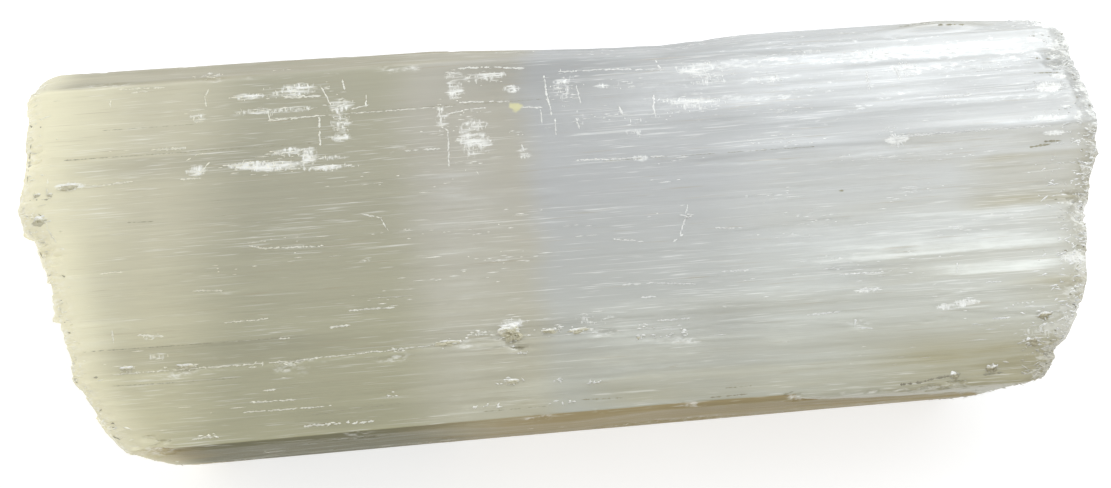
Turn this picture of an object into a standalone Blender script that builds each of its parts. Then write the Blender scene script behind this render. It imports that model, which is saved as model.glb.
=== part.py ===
"""Selenite log: a length of fibrous gypsum, broken off across its fibres and lying on its flat.

Units are metres, +Z up. +X runs along the fibres, the widest face looks up, and the origin is
on the surface that the log lies on, below the middle of the log's box.

The skin is a loft. Columns run lengthwise, as the fibres do, and stations run round the log.
Each end is closed with rings of broken fibre ends that step in and out of the fracture.
"""

import bmesh
import bpy
import numpy as np

# Driving dimensions, in millimetres
LENGTH = 250.0
SECTION_PLACES = (-110.0, -28.0, 15.0, 90.0)  # where along the log the sections below are given

# Lengthwise edges of the log, in order round it from the lip over the top to the front flank:
# columns up to the next edge, (y, z) at each of the four places, and the x of its two ends.
EDGES = {
    "lip": (10, (-48.3, 43.0), (-47.6, 44.5), (-47.4, 44.7), (-47.2, 43.0), (-103.0, 105.0)),
    "chipped ridge": (4, (-30.6, 46.8), (-29.3, 47.7), (-29.3, 47.8), (-31.6, 46.6), (-113.6, 114.2)),
    "low step": (10, (-25.3, 47.8), (-25.5, 48.5), (-25.5, 48.6), (-25.2, 47.6), (-114.6, 116.4)),
    "broad face": (5, (-6.0, 48.7), (-6.0, 49.4), (-6.0, 49.5), (-6.0, 48.9), (-118.3, 119.0)),
    "lobe foot": (2, (2.8, 49.0), (2.7, 49.6), (2.7, 49.7), (2.8, 49.3), (-120.4, 121.6)),
    "lobe": (3, (6.3, 49.1), (6.2, 49.7), (6.1, 49.8), (6.2, 49.5), (-124.0, 123.2)),
    "crown": (4, (11.6, 49.2), (11.4, 49.8), (11.3, 50.0), (11.5, 49.8), (-124.3, 124.6)),
    "upper step": (8, (21.5, 48.2), (21.3, 48.8), (21.3, 48.9), (21.6, 48.2), (-122.9, 122.6)),
    "bevel": (4, (41.4, 44.5), (40.3, 45.3), (38.6, 45.4), (38.4, 44.8), (-122.4, 120.0)),
    "back shoulder": (6, (48.0, 38.0), (46.7, 39.0), (44.0, 38.9), (43.4, 38.4), (-120.0, 117.0)),
    "back flank": (8, (50.0, 22.0), (48.9, 23.5), (46.7, 23.5), (46.2, 21.0), (-119.6, 115.0)),
    "back foot": (2, (41.0, 2.5), (39.9, 2.1), (39.2, 2.1), (38.0, 2.5), (-117.5, 113.0)),
    "back rest edge": (5, (37.0, 0.0), (36.3, 0.0), (35.7, 0.0), (34.0, 0.0), (-115.5, 111.0)),
    "middle of the rest": (5, (-9.0, 0.0), (-8.3, 0.0), (-8.1, 0.0), (-8.5, 0.0), (-113.0, 109.0)),
    "front rest edge": (2, (-34.5, 0.0), (-34.1, 0.0), (-33.8, 0.0), (-33.0, 0.0), (-93.0, 89.0)),
    "front foot": (8, (-39.6, 3.0), (-38.6, 2.6), (-38.2, 2.6), (-37.5, 3.0), (-95.0, 91.5)),
    "front flank": (6, (-45.6, 24.0), (-44.1, 24.7), (-43.6, 24.8), (-43.6, 24.0), (-97.5, 95.5)),
}
RESTING_EDGES = ("back rest edge", "middle of the rest", "front rest edge")  # of the flat under it

STATIONS = 44  # rings of points along the log, closer together near its ends
END_CROWDING = 0.35  # 0 spaces the stations evenly, 1 crowds them at both ends

STRAND_COLUMNS = 2  # columns in one bundle of fibres
STRAND_KNOTS = 9  # places along the log where a bundle's height changes
STRAND_RELIEF = 0.3
SPLINTER = 1.3  # most that a bundle's broken end falls short of its neighbours

CORE_HALF_WIDTH = 24.0  # relief is measured towards or away from this flat core
CORE_HEIGHT = 24.0
END_WEAR_LENGTH = 7.0  # the ends are worn round over this length
END_WEAR_DEPTH = 2.6

# Rings of an end: share of its rim's size, and how many columns there are to each of its points
FRACTURE_RINGS = ((0.96, 2), (0.88, 2), (0.79, 2), (0.69, 2), (0.58, 2), (0.46, 4), (0.33, 4), (0.18, 4))
FRACTURE_HOLLOW = (2.0, 1.5)  # how far the left and the right end fall back at their middles
FRACTURE_STEP = 2.4  # most that a bundle stands out of the broken end or sinks into it
FRACTURE_BUNDLES = 70  # bundles in one broken end

# Ledges that run lengthwise: first and last edge, x from and to, and how far they stand out
LEDGES = (
    ("upper step", "bevel", -125.0, -78.0, 0.7),
    ("low step", "broad face", -125.0, -72.0, 0.5),
    ("crown", "upper step", 62.0, 125.0, 0.8),
    ("bevel", "back flank", 36.0, 100.0, 1.1),
    ("back flank", "back foot", -60.0, 30.0, 1.4),
    ("lip", "chipped ridge", -60.0, 49.0, 0.6),
    ("front flank", "lip", -40.0, 20.0, 0.9),
)
LEDGE_RAMP = 3.0  # length over which a ledge rises

# Chips knocked out of the skin: x, y, z of the middle, half length, half width, depth
CHIPS = (
    (-13.0, -31.5, 48.0, 5.5, 3.6, 1.8),
    (7.0, -29.0, 48.0, 6.0, 2.8, 1.0),
    (-41.0, -30.5, 48.0, 5.0, 2.6, 0.9),
    (-65.0, -31.0, 47.5, 6.0, 3.0, 1.1),
    (-88.0, -30.0, 47.0, 7.0, 2.6, 1.0),
    (23.0, -31.5, 47.5, 8.0, 3.0, 1.0),
    (66.0, -32.0, 47.0, 6.5, 3.0, 1.0),
    (82.0, -48.0, 41.0, 8.0, 5.0, 2.4),
    (49.0, -47.5, 42.0, 5.0, 4.0, 1.5),
    (-52.0, -47.5, 40.0, 9.0, 5.0, 1.3),
    (-97.0, -48.0, 42.0, 6.0, 5.0, 1.6),
    (-118.0, 24.0, 46.0, 5.0, 4.0, 1.8),
    (-121.0, -2.0, 47.0, 5.0, 5.0, 1.6),
    (119.0, -9.0, 47.0, 6.0, 6.0, 1.8),
    (117.0, 28.0, 46.0, 6.0, 5.0, 2.0),
    (-35.0, 47.0, 20.0, 14.0, 7.0, 1.8),
    (70.0, 46.0, 12.0, 16.0, 6.0, 1.7),
    (-80.0, 44.0, 9.0, 10.0, 6.0, 1.8),
    (20.0, -41.0, 14.0, 15.0, 6.0, 1.6),
)

SEED = 20
MM = 0.001

NAMES = list(EDGES)
COLUMNS_OF = np.array([edge[0] for edge in EDGES.values()])
FIRST_COLUMN = np.concatenate([[0], np.cumsum(COLUMNS_OF)])
COLUMNS = int(FIRST_COLUMN[-1])
PLACES_YZ = np.array([edge[1:-1] for edge in EDGES.values()])
END_X = np.array([edge[-1] for edge in EDGES.values()])


def clear_scene():
    for old in list(bpy.data.objects):
        bpy.data.objects.remove(old, do_unlink=True)


def smooth(share):
    """A share eased at 0 and at 1."""
    share = np.clip(share, 0.0, 1.0)
    return share * share * (3.0 - 2.0 * share)


def facet_of(column):
    """The edge that each column follows, and its share of the way to the next edge."""
    facet = np.searchsorted(FIRST_COLUMN, column, side="right") - 1
    return facet, (column - FIRST_COLUMN[facet]) / COLUMNS_OF[facet]


def edge_at(facet, x):
    """(y, z) of an edge at each x of one column."""
    places = PLACES_YZ[facet % len(NAMES)]
    return np.stack([np.interp(x, SECTION_PLACES, places[:, axis]) for axis in (0, 1)], axis=-1)


def end_lines(column, rng):
    """x of the left and the right end of each column, with each bundle broken at its own length."""
    wrapped = np.vstack([END_X, END_X[:1]])
    ends = [np.interp(column, FIRST_COLUMN, wrapped[:, side]) for side in (0, 1)]
    short = SPLINTER * rng.uniform(0.0, 1.0, (2, COLUMNS // STRAND_COLUMNS)) ** 2
    strand = (column // STRAND_COLUMNS).astype(int)
    return ends[0] + short[0][strand], ends[1] - short[1][strand]


def outward(yz):
    """Unit vectors in the section, away from the flat core of the log."""
    core = np.stack([np.clip(yz[..., 0], -CORE_HALF_WIDTH, CORE_HALF_WIDTH),
                     np.full(yz.shape[:-1], CORE_HEIGHT)], axis=-1)
    away = yz - core
    return away / np.linalg.norm(away, axis=-1, keepdims=True)


def strand_relief(column, x, rng):
    """Height of each bundle of fibres along the log."""
    heights = rng.uniform(-STRAND_RELIEF, STRAND_RELIEF, (COLUMNS // STRAND_COLUMNS, STRAND_KNOTS))
    knots = np.linspace(-LENGTH / 2, LENGTH / 2, STRAND_KNOTS)
    strand = (column // STRAND_COLUMNS).astype(int)
    return np.stack([np.interp(x[:, i], knots, heights[s]) for i, s in enumerate(strand)], axis=1)


def ledge_relief(column, x):
    relief = np.zeros(x.shape)
    for first, last, x_from, x_to, height in LEDGES:
        start, stop = (FIRST_COLUMN[NAMES.index(name)] for name in (first, last))
        if stop <= start:
            stop += COLUMNS
        place = np.where(column < start, column + COLUMNS, column)
        across = (place > start) & (place < stop)
        along = smooth((x - x_from) / LEDGE_RAMP) * smooth((x_to - x) / LEDGE_RAMP)
        relief += height * across * along
    return relief


def chip_relief(x, yz):
    relief = np.zeros(x.shape)
    for cx, cy, cz, along, across, depth in CHIPS:
        reach = ((x - cx) / along) ** 2
        reach += ((yz[..., 0] - cy) ** 2 + (yz[..., 1] - cz) ** 2) / across ** 2
        relief -= depth * smooth(1.0 - np.sqrt(reach)) ** 0.5
    return relief


def skin():
    """x, y, z of every point of the skin, by station along the log and column round it."""
    rng = np.random.default_rng(SEED)
    column = np.arange(COLUMNS, dtype=float)
    facet, share = facet_of(column)
    left, right = end_lines(column, rng)
    even = np.linspace(0.0, 1.0, STATIONS)
    along = even + END_CROWDING * (smooth(even) - even)
    x = left + (right - left) * along[:, None]

    yz = np.empty(x.shape + (2,))
    for i in range(COLUMNS):
        here, there = edge_at(facet[i], x[:, i]), edge_at(facet[i] + 1, x[:, i])
        yz[:, i] = here + (there - here) * share[i]

    rest_first, rest_last = (FIRST_COLUMN[NAMES.index(RESTING_EDGES[k])] for k in (0, -1))
    resting = (column >= rest_first) & (column <= rest_last)
    relief = strand_relief(column, x, rng) + ledge_relief(column, x) + chip_relief(x, yz)
    relief[:, resting] = 0.0
    from_end = np.minimum(x - left, right - x)
    relief -= END_WEAR_DEPTH * (1.0 - np.clip(from_end / END_WEAR_LENGTH, 0.0, 1.0)) ** 2
    yz += outward(yz) * relief[..., None]
    return np.concatenate([x[..., None], yz], axis=-1)


def bundle_steps(yz, rng):
    """How far the bundle at each (y, z) of a broken end stands out of it."""
    middles = rng.uniform((-50.0, -2.0), (50.0, 52.0), (FRACTURE_BUNDLES, 2))
    heights = rng.uniform(-1.0, 1.0, FRACTURE_BUNDLES) * FRACTURE_STEP
    away = np.linalg.norm(yz[:, None] - middles, axis=-1)
    return heights[away.argmin(axis=1)]


def fracture_level(rim, yz):
    """x of a broken end at each (y, z), ruled from its upper rim straight down to its lower rim."""
    turn = FIRST_COLUMN[NAMES.index("back flank")]
    upper = rim[:turn + 1]
    lower = np.vstack([rim[turn:], rim[:1]])[::-1]
    x_up, z_up = (np.interp(yz[:, 0], upper[:, 1], upper[:, k]) for k in (0, 2))
    x_low, z_low = (np.interp(yz[:, 0], lower[:, 1], lower[:, k]) for k in (0, 2))
    height = np.clip((yz[:, 1] - z_low) / np.maximum(z_up - z_low, 1.0), 0.0, 1.0)
    return x_low + (x_up - x_low) * height


def fracture(rim, hollow, towards, rng):
    """Rings of points of a broken end inside its rim, and its middle point."""
    core = np.array([0.0, CORE_HEIGHT])
    middle_x = fracture_level(rim, core[None])[0] + towards * hollow
    seed = rng.integers(1000)
    rings = []
    for share, columns_each in FRACTURE_RINGS:
        yz = core + (rim[:, 1:] - core) * share
        steps = bundle_steps(yz, np.random.default_rng(seed)) * (1.0 - share ** 8)
        x = fracture_level(rim, yz) + towards * (hollow * (1.0 - share ** 2) + steps)
        rings.append(np.column_stack([x, yz])[::columns_each])
    return rings, np.array([middle_x, *core])


def bridge(bm, outer, inner):
    """Faces between two rings, of which the inner one has as many points or half as many."""
    each = len(outer) // len(inner)
    for i, here in enumerate(inner):
        there = inner[(i + 1) % len(inner)]
        arc = [outer[(each * i + k) % len(outer)] for k in range(each + 1)]
        for k in range(each):
            bm.faces.new((arc[k], arc[k + 1], there if k else here))
        bm.faces.new((arc[1], there, here))


def add_end(bm, rim, rings, middle):
    """Faces from a rim over its fracture rings to the middle of the end."""
    outer = rim
    for ring in rings:
        inner = [bm.verts.new(point) for point in ring]
        bridge(bm, outer, inner)
        outer = inner
    centre = bm.verts.new(middle)
    for here, there in zip(outer, outer[1:] + outer[:1]):
        bm.faces.new((here, there, centre))


def log_mesh():
    points = skin()
    rng = np.random.default_rng(SEED + 1)
    ends = [fracture(points[0], FRACTURE_HOLLOW[0], 1, rng),
            fracture(points[-1], FRACTURE_HOLLOW[1], -1, rng)]

    low, high = points.min(axis=(0, 1)), points.max(axis=(0, 1))
    shift = np.array([(low[0] + high[0]) / 2, (low[1] + high[1]) / 2, 0.0])
    scale = np.array([LENGTH / (high[0] - low[0]), 1.0, 1.0]) * MM

    bm = bmesh.new()
    rows = [[bm.verts.new((point - shift) * scale) for point in row] for row in points]
    for row, above in zip(rows, rows[1:]):
        for i in range(COLUMNS):
            j = (i + 1) % COLUMNS
            bm.faces.new((row[i], row[j], above[j], above[i]))
    for rim, (rings, middle) in zip((rows[0], rows[-1]), ends):
        add_end(bm, rim, [(ring - shift) * scale for ring in rings], (middle - shift) * scale)
    bmesh.ops.recalc_face_normals(bm, faces=bm.faces)
    bmesh.ops.triangulate(bm, faces=bm.faces)
    mesh = bpy.data.meshes.new("selenite_log")
    bm.to_mesh(mesh)
    bm.free()
    return mesh


def satin_spar():
    """Milky, silky gypsum, pale cream with a cool grey cast."""
    material = bpy.data.materials.new("satin_spar")
    material.use_nodes = True
    shader = material.node_tree.nodes["Principled BSDF"]
    shader.inputs["Base Color"].default_value = (0.58, 0.56, 0.49, 1.0)
    shader.inputs["Metallic"].default_value = 0.0
    shader.inputs["Roughness"].default_value = 0.35
    shader.inputs["IOR"].default_value = 1.52
    shader.inputs["Subsurface Weight"].default_value = 0.6
    shader.inputs["Subsurface Radius"].default_value = (0.012, 0.011, 0.009)
    return material


def main():
    clear_scene()
    log = bpy.data.objects.new("selenite_log", log_mesh())
    log.data.materials.append(satin_spar())
    bpy.context.scene.collection.objects.link(log)


if __name__ == "__main__":
    main()
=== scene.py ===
"""A rough selenite log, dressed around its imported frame: fibred satin spar with bruises, ledges
and splintery ends, on a pale floor in soft studio light.

Lengths are in millimetres until a mesh is made, and in metres after that. +X runs along the
fibres, +Y is towards the bevelled back and +Z is up.
"""

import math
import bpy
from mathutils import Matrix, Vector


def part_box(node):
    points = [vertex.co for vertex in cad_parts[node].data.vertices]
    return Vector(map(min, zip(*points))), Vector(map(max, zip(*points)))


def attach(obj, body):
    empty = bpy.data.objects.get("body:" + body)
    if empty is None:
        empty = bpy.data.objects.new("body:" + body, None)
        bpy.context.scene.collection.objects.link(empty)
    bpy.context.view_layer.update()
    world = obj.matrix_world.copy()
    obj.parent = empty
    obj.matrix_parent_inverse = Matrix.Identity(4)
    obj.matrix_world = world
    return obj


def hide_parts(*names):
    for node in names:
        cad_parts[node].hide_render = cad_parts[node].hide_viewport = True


bl_info = {
    "name": "Selenite Log",
    "version": (1, 0, 0),
    "blender": (4, 5, 0),
    "location": "View3D > Sidebar > Selenite",
    "description": "Builds a rough log of fibrous selenite and the stage that it lies on",
    "category": "Add Mesh",
}

import bpy
import numpy as np
from mathutils import Vector, noise
from mathutils.bvhtree import BVHTree

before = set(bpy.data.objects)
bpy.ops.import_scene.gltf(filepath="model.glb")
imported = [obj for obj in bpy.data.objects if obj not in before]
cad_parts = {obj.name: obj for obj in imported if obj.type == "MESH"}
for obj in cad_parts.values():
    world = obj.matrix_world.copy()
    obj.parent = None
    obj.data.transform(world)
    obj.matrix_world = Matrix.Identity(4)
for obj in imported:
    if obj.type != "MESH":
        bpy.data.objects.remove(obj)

NODE = "selenite_log"
BODY = "root"
MM = 0.001
UP, DOWN = Vector((0.0, 0.0, 1.0)), Vector((0.0, 0.0, -1.0))
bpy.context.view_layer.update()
NODE_LOW, NODE_HIGH = (np.array(corner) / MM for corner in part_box(NODE))

# ---- The log's form, as in its solid -----------------------------------------------------

LENGTH = 250.0
HALF_WIDTH = 50.0  # this and the height are rounded up
HEIGHT = 52.0
SECTION_PLACES = (-110.0, -28.0, 15.0, 90.0)  # where along the log the sections below are given

# Lengthwise edges of the log, in order round it from the lip over the top to the front flank:
# coarse columns up to the next edge, fine columns to each of those, (y, z) at each of the four
# places, and the x of its two ends.
EDGES = {
    "lip": (10, 5, (-48.3, 43.0), (-47.6, 44.5), (-47.4, 44.7), (-47.2, 43.0),
            (-103.0, 105.0)),
    "chipped ridge": (4, 5, (-30.6, 46.8), (-29.3, 47.7), (-29.3, 47.8), (-31.6, 46.6),
                      (-113.6, 114.2)),
    "low step": (10, 5, (-25.3, 47.8), (-25.5, 48.5), (-25.5, 48.6), (-25.2, 47.6),
                 (-114.6, 116.4)),
    "broad face": (5, 5, (-6.0, 48.7), (-6.0, 49.4), (-6.0, 49.5), (-6.0, 48.9),
                   (-118.3, 119.0)),
    "lobe foot": (2, 5, (2.8, 49.0), (2.7, 49.6), (2.7, 49.7), (2.8, 49.3),
                  (-120.4, 121.6)),
    "lobe": (3, 5, (6.3, 49.1), (6.2, 49.7), (6.1, 49.8), (6.2, 49.5),
             (-124.0, 123.2)),
    "crown": (4, 5, (11.6, 49.2), (11.4, 49.8), (11.3, 50.0), (11.5, 49.8),
              (-124.3, 124.6)),
    "upper step": (8, 5, (21.5, 48.2), (21.3, 48.8), (21.3, 48.9), (21.6, 48.2),
                   (-122.9, 122.6)),
    "bevel": (4, 5, (41.4, 44.5), (40.3, 45.3), (38.6, 45.4), (38.4, 44.8),
              (-122.4, 120.0)),
    "back shoulder": (6, 5, (48.0, 38.0), (46.7, 39.0), (44.0, 38.9), (43.4, 38.4),
                      (-120.0, 117.0)),
    "back flank": (8, 4, (50.0, 22.0), (48.9, 23.5), (46.7, 23.5), (46.2, 21.0),
                   (-119.6, 115.0)),
    "back foot": (2, 3, (41.0, 2.5), (39.9, 2.1), (39.2, 2.1), (38.0, 2.5),
                  (-117.5, 113.0)),
    "back rest edge": (5, 2, (37.0, 0.0), (36.3, 0.0), (35.7, 0.0), (34.0, 0.0),
                       (-115.5, 111.0)),
    "middle of the rest": (5, 2, (-9.0, 0.0), (-8.3, 0.0), (-8.1, 0.0), (-8.5, 0.0),
                           (-113.0, 109.0)),
    "front rest edge": (2, 2, (-34.5, 0.0), (-34.1, 0.0), (-33.8, 0.0), (-33.0, 0.0),
                        (-93.0, 89.0)),
    "front foot": (8, 4, (-39.6, 3.0), (-38.6, 2.6), (-38.2, 2.6), (-37.5, 3.0),
                   (-95.0, 91.5)),
    "front flank": (6, 5, (-45.6, 24.0), (-44.1, 24.7), (-43.6, 24.8), (-43.6, 24.0),
                    (-97.5, 95.5)),
}
RESTING_EDGES = ("back rest edge", "middle of the rest", "front rest edge")  # of the flat under it

END_CROWDING = 0.35  # 0 spaces the stations evenly, 1 crowds them at both ends
STRAND_COLUMNS = 2  # coarse columns in one bundle of fibres
STRAND_KNOTS = 9  # places along a bundle where its height is set
STRAND_RELIEF = 0.3  # most that a bundle stands out or lies back
STRAND_FLANK = 0.9  # share of a coarse column over which one bundle steps to the next
SPLINTER = 0.9  # most that a bundle's broken end falls short of its neighbours
CORE_HALF_WIDTH = 24.0  # relief is measured towards or away from this flat core
CORE_HEIGHT = 24.0
END_WEAR_LENGTH = 5.0  # how far in from an end the skin is worn down, and how deep at the end
END_WEAR_DEPTH = 1.8

FRACTURE_HOLLOW = (2.0, 1.5)  # depth of the hollow in the left and the right broken end
FRACTURE_STEP = 2.4  # most that a bundle stands out of a broken end or lies back in it
FRACTURE_BUNDLES = 70
FRACTURE_REGION = ((-HALF_WIDTH, -2.0), (HALF_WIDTH, HEIGHT))  # lowest and highest (y, z)

# Ledges that run lengthwise: first and last edge, x from and to, and how far they stand out
LEDGES = (
    ("upper step", "bevel", -150.0, -52.0, 0.5),
    ("low step", "broad face", -150.0, -52.0, 0.35),
    ("crown", "upper step", 60.0, 150.0, 0.45),
    ("bevel", "back flank", 26.0, 115.0, 1.2),
    ("bevel", "back shoulder", 72.0, 108.0, 2.0),
    ("back flank", "back foot", -60.0, 30.0, 1.4),
    ("lip", "chipped ridge", -130.0, 30.0, 0.45),
    ("front flank", "lip", -40.0, 20.0, 0.9),
)
LEDGE_RAMP = 24.0  # length over which a ledge rises out of the skin
LEDGE_STEEPNESS = 1.4  # columns that a ledge's side takes, for each millimetre of its height

# Chips knocked out of the skin: x, y, z of the middle, half length, half width, depth
CHIPS = (
    (-14.0, -30.9, 48.0, 3.4, 1.4, 0.9),
    (4.0, -31.5, 48.0, 3.0, 0.8, 0.15),
    (-41.0, -31.0, 48.0, 4.0, 1.5, 0.35),
    (-65.0, -31.6, 47.5, 4.0, 1.7, 0.5),
    (-88.0, -31.0, 47.0, 4.0, 1.2, 0.25),
    (23.0, -32.2, 47.5, 5.0, 1.2, 0.2),
    (63.5, -31.8, 47.0, 2.5, 1.2, 0.3),
    (80.0, -48.0, 42.0, 8.0, 2.4, 1.3),
    (49.0, -47.5, 42.0, 4.0, 2.5, 0.9),
    (-52.0, -48.0, 40.0, 9.0, 3.0, 0.8),
    (-97.0, -48.0, 42.0, 5.0, 4.0, 1.1),
    (-120.0, 23.0, 46.0, 3.0, 3.0, 1.0),
    (-121.0, -2.0, 47.0, 5.0, 5.0, 1.6),
    (119.0, -9.0, 47.0, 5.0, 5.0, 1.3),
    (118.5, 29.0, 46.0, 4.0, 4.0, 1.1),
    (-35.0, 47.0, 20.0, 14.0, 7.0, 1.8),
    (70.0, 46.0, 12.0, 16.0, 6.0, 1.7),
    (-80.0, 44.0, 9.0, 10.0, 6.0, 1.8),
    (20.0, -41.0, 14.0, 15.0, 6.0, 1.6),
)

SEED = 20

NAMES = list(EDGES)
COLUMNS_OF = np.array([edge[0] for edge in EDGES.values()])
FINE_OF = np.array([edge[1] for edge in EDGES.values()])
FIRST_COLUMN = np.concatenate([[0], np.cumsum(COLUMNS_OF)])
COLUMNS = int(FIRST_COLUMN[-1])
PLACES_YZ = np.array([edge[2:-1] for edge in EDGES.values()])
END_X = np.array([edge[-1] for edge in EDGES.values()])

# ---- Fine relief, on the log's mesh only -------------------------------------------------

STATIONS = 212  # rings of points along the log
RIDGE_WEAR = (1.0, 2.0, 3.0, 2.0, 1.0)  # weights of neighbouring columns that round an edge
STRAND_SHARE = 0.3  # how much of a coarse bundle's relief the rubbed skin still shows
CORD_COUNT = 170  # cords of fibres round the log
CORD_WIDTHS = (0.35, 1.65)  # narrowest and widest, as shares of the usual width
CORD_KNOTS = 12  # places along a cord where its height is set
CORD_RELIEF = 0.045
SMALL_LEDGES = 150  # thin layers of fibres, anywhere on the skin
SMALL_CHIPS = 60  # along the edges named below
SMALL_CHIP_EDGES = ("chipped ridge", "lip", "bevel", "back shoulder", "front flank", "front foot")
CORD_SPLINTER = 0.5  # most that a cord's broken end falls short
FRAYING = 0.8  # how ragged the outline of a chip is
CRUMB = 0.09  # roughness of what is chipped or broken
END_CRUMBLE = 4.0  # how far that roughness reaches in from the ends
# Rings inside a broken end: share of the way out to its rim, and skin columns to each point
FINE_RINGS = tuple((share, 2) for share in np.linspace(0.985, 0.46, 18)) + tuple(
    (share, 4) for share in np.linspace(0.43, 0.04, 13))
FINE_BUNDLES = 900
FINE_BUNDLE_STEP = 0.75


def smooth(share):
    """A share eased at 0 and at 1."""
    share = np.clip(share, 0.0, 1.0)
    return share * share * (3.0 - 2.0 * share)


def fine_columns():
    """Places round the log, counted in coarse columns, with several to each of those."""
    return np.concatenate([FIRST_COLUMN[k] + np.arange(COLUMNS_OF[k] * FINE_OF[k]) / FINE_OF[k]
                           for k in range(len(NAMES))])


def facet_of(column):
    """The edge that each column follows, and its share of the way to the next edge."""
    facet = np.searchsorted(FIRST_COLUMN, column + 1e-9, side="right") - 1
    return facet, (column - FIRST_COLUMN[facet]) / COLUMNS_OF[facet]


def edge_at(facet, x):
    """(y, z) of an edge at each x of one column."""
    places = PLACES_YZ[facet % len(NAMES)]
    return np.stack([np.interp(x, SECTION_PLACES, places[:, axis]) for axis in (0, 1)], axis=-1)


def strand_of(column):
    """The bundle of each column, the next bundle, and how far the column has stepped to it."""
    place = (column + 0.5) / STRAND_COLUMNS
    strand = np.floor(place).astype(int)
    flank = STRAND_FLANK / STRAND_COLUMNS
    step = smooth((place - strand - (1.0 - flank)) / flank)
    count = COLUMNS // STRAND_COLUMNS
    return strand % count, (strand + 1) % count, step


def outward(yz):
    """Unit vectors in the section, away from the flat core of the log."""
    core = np.stack([np.clip(yz[..., 0], -CORE_HALF_WIDTH, CORE_HALF_WIDTH),
                     np.full(yz.shape[:-1], CORE_HEIGHT)], axis=-1)
    away = yz - core
    return away / np.linalg.norm(away, axis=-1, keepdims=True)


def along_knots(heights, x):
    """Heights of one row of knots, read at x."""
    return np.interp(x, np.linspace(-LENGTH / 2, LENGTH / 2, heights.shape[-1]), heights)


def arc_lengths(column):
    """Distance round the middle section to each column, and all the way round."""
    facet, share = facet_of(column)
    middle = PLACES_YZ[:, 1]
    following = np.roll(middle, -1, axis=0)
    points = middle[facet] + (following - middle)[facet] * share[:, None]
    steps = np.linalg.norm(np.roll(points, -1, axis=0) - points, axis=1)
    return np.concatenate([[0.0], np.cumsum(steps)[:-1]]), steps.sum()


def cord_of(arc, around, rng):
    """The cord of fibres that each column lies on; no two are equally wide."""
    widths = rng.uniform(*CORD_WIDTHS, CORD_COUNT)
    bounds = np.concatenate([[0.0], np.cumsum(widths)]) * around / widths.sum()
    return np.clip(np.searchsorted(bounds, arc, side="right") - 1, 0, CORD_COUNT - 1)


def cord_relief(cord, x, rng):
    """How far each cord stands out along its length."""
    heights = rng.uniform(-CORD_RELIEF, CORD_RELIEF, (CORD_COUNT, CORD_KNOTS))
    return np.stack([along_knots(heights[c], x[:, i]) for i, c in enumerate(cord)], axis=1)


def ledge_relief(column, x):
    """How far the ledges stand out, each between its two edges and its two ends."""
    relief = np.zeros(x.shape)
    for first, last, x_from, x_to, height in LEDGES:
        start, stop = (FIRST_COLUMN[NAMES.index(name)] for name in (first, last))
        if stop <= start:
            stop += COLUMNS
        place = np.where(column < start, column + COLUMNS, column)
        flank = max(0.5, LEDGE_STEEPNESS * height)
        across = smooth((place - start) / flank) * smooth((stop - place) / flank)
        along = smooth((x - x_from) / LEDGE_RAMP) * smooth((x_to - x) / LEDGE_RAMP)
        relief += height * across * along
    return relief


def small_ledge_relief(arc, around, x, rng):
    """Thin layers left standing or split away, long, narrow and pointed at their ends."""
    relief = np.zeros(x.shape)
    for _ in range(SMALL_LEDGES):
        middle, half = rng.uniform(0.0, around), rng.uniform(0.5, 3.2)
        x_middle, reach = rng.uniform(-LENGTH / 2, LENGTH / 2), rng.uniform(8.0, 48.0)
        height = rng.choice((-1.0, 1.0)) * rng.uniform(0.03, 0.13)
        near = np.flatnonzero(np.abs(arc - middle) < half)
        if len(near):
            width = half * np.sqrt(np.clip(1.0 - np.abs(x[:, near] - x_middle) / reach, 0.0, 1.0))
            relief[:, near] += height * smooth((width - np.abs(arc[near] - middle)) / 0.3)
    return relief


def raggedness(x, yz):
    """Drawn-out noise from about -1 to 1 that frays the outlines of the chips."""
    places = np.column_stack([0.3 * x.ravel(), 0.9 * yz.reshape(-1, 2)])
    return np.array([noise.noise(place) for place in places]).reshape(x.shape)


def dent(x, yz, chip, ragged, rough):
    """How deep one chip goes at each point, with its outline frayed and its floor rough."""
    cx, cy, cz, along, across, depth = chip
    reach = ((x - cx) / along) ** 2
    reach += ((yz[..., 0] - cy) ** 2 + (yz[..., 1] - cz) ** 2) / across ** 2
    return depth * smooth(1.1 - np.sqrt(reach) + FRAYING * ragged) ** 0.7 * rough


def small_chips(rng):
    """Chips along the log's edges, more of them where the log is bruised."""
    chips = []
    for _ in range(SMALL_CHIPS):
        name = SMALL_CHIP_EDGES[rng.integers(len(SMALL_CHIP_EDGES))]
        x = rng.uniform(-110.0, 105.0)
        y, z = edge_at(NAMES.index(name), np.array([x]))[0] + rng.uniform(-0.8, 0.8, 2)
        chips.append((x, y, z, rng.uniform(1.4, 4.5), rng.uniform(0.6, 1.6), rng.uniform(0.1, 0.4)))
    return chips


def end_lines(column, cord, rng, fine_rng):
    """x of the left and the right end of each column, each bundle and cord at its own length."""
    wrapped = np.vstack([END_X, END_X[:1]])
    ends = [np.interp(column, FIRST_COLUMN, wrapped[:, side]) for side in (0, 1)]
    short = SPLINTER * rng.uniform(0.0, 1.0, (2, COLUMNS // STRAND_COLUMNS)) ** 2
    strand, following, step = strand_of(column)
    cord_short = CORD_SPLINTER * fine_rng.uniform(0.0, 1.0, (2, cord.max() + 1)) ** 2
    shortfall = [short[side][strand] * (1.0 - step) + short[side][following] * step
                 + cord_short[side][cord] for side in (0, 1)]
    return ends[0] + shortfall[0], ends[1] - shortfall[1]


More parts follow.
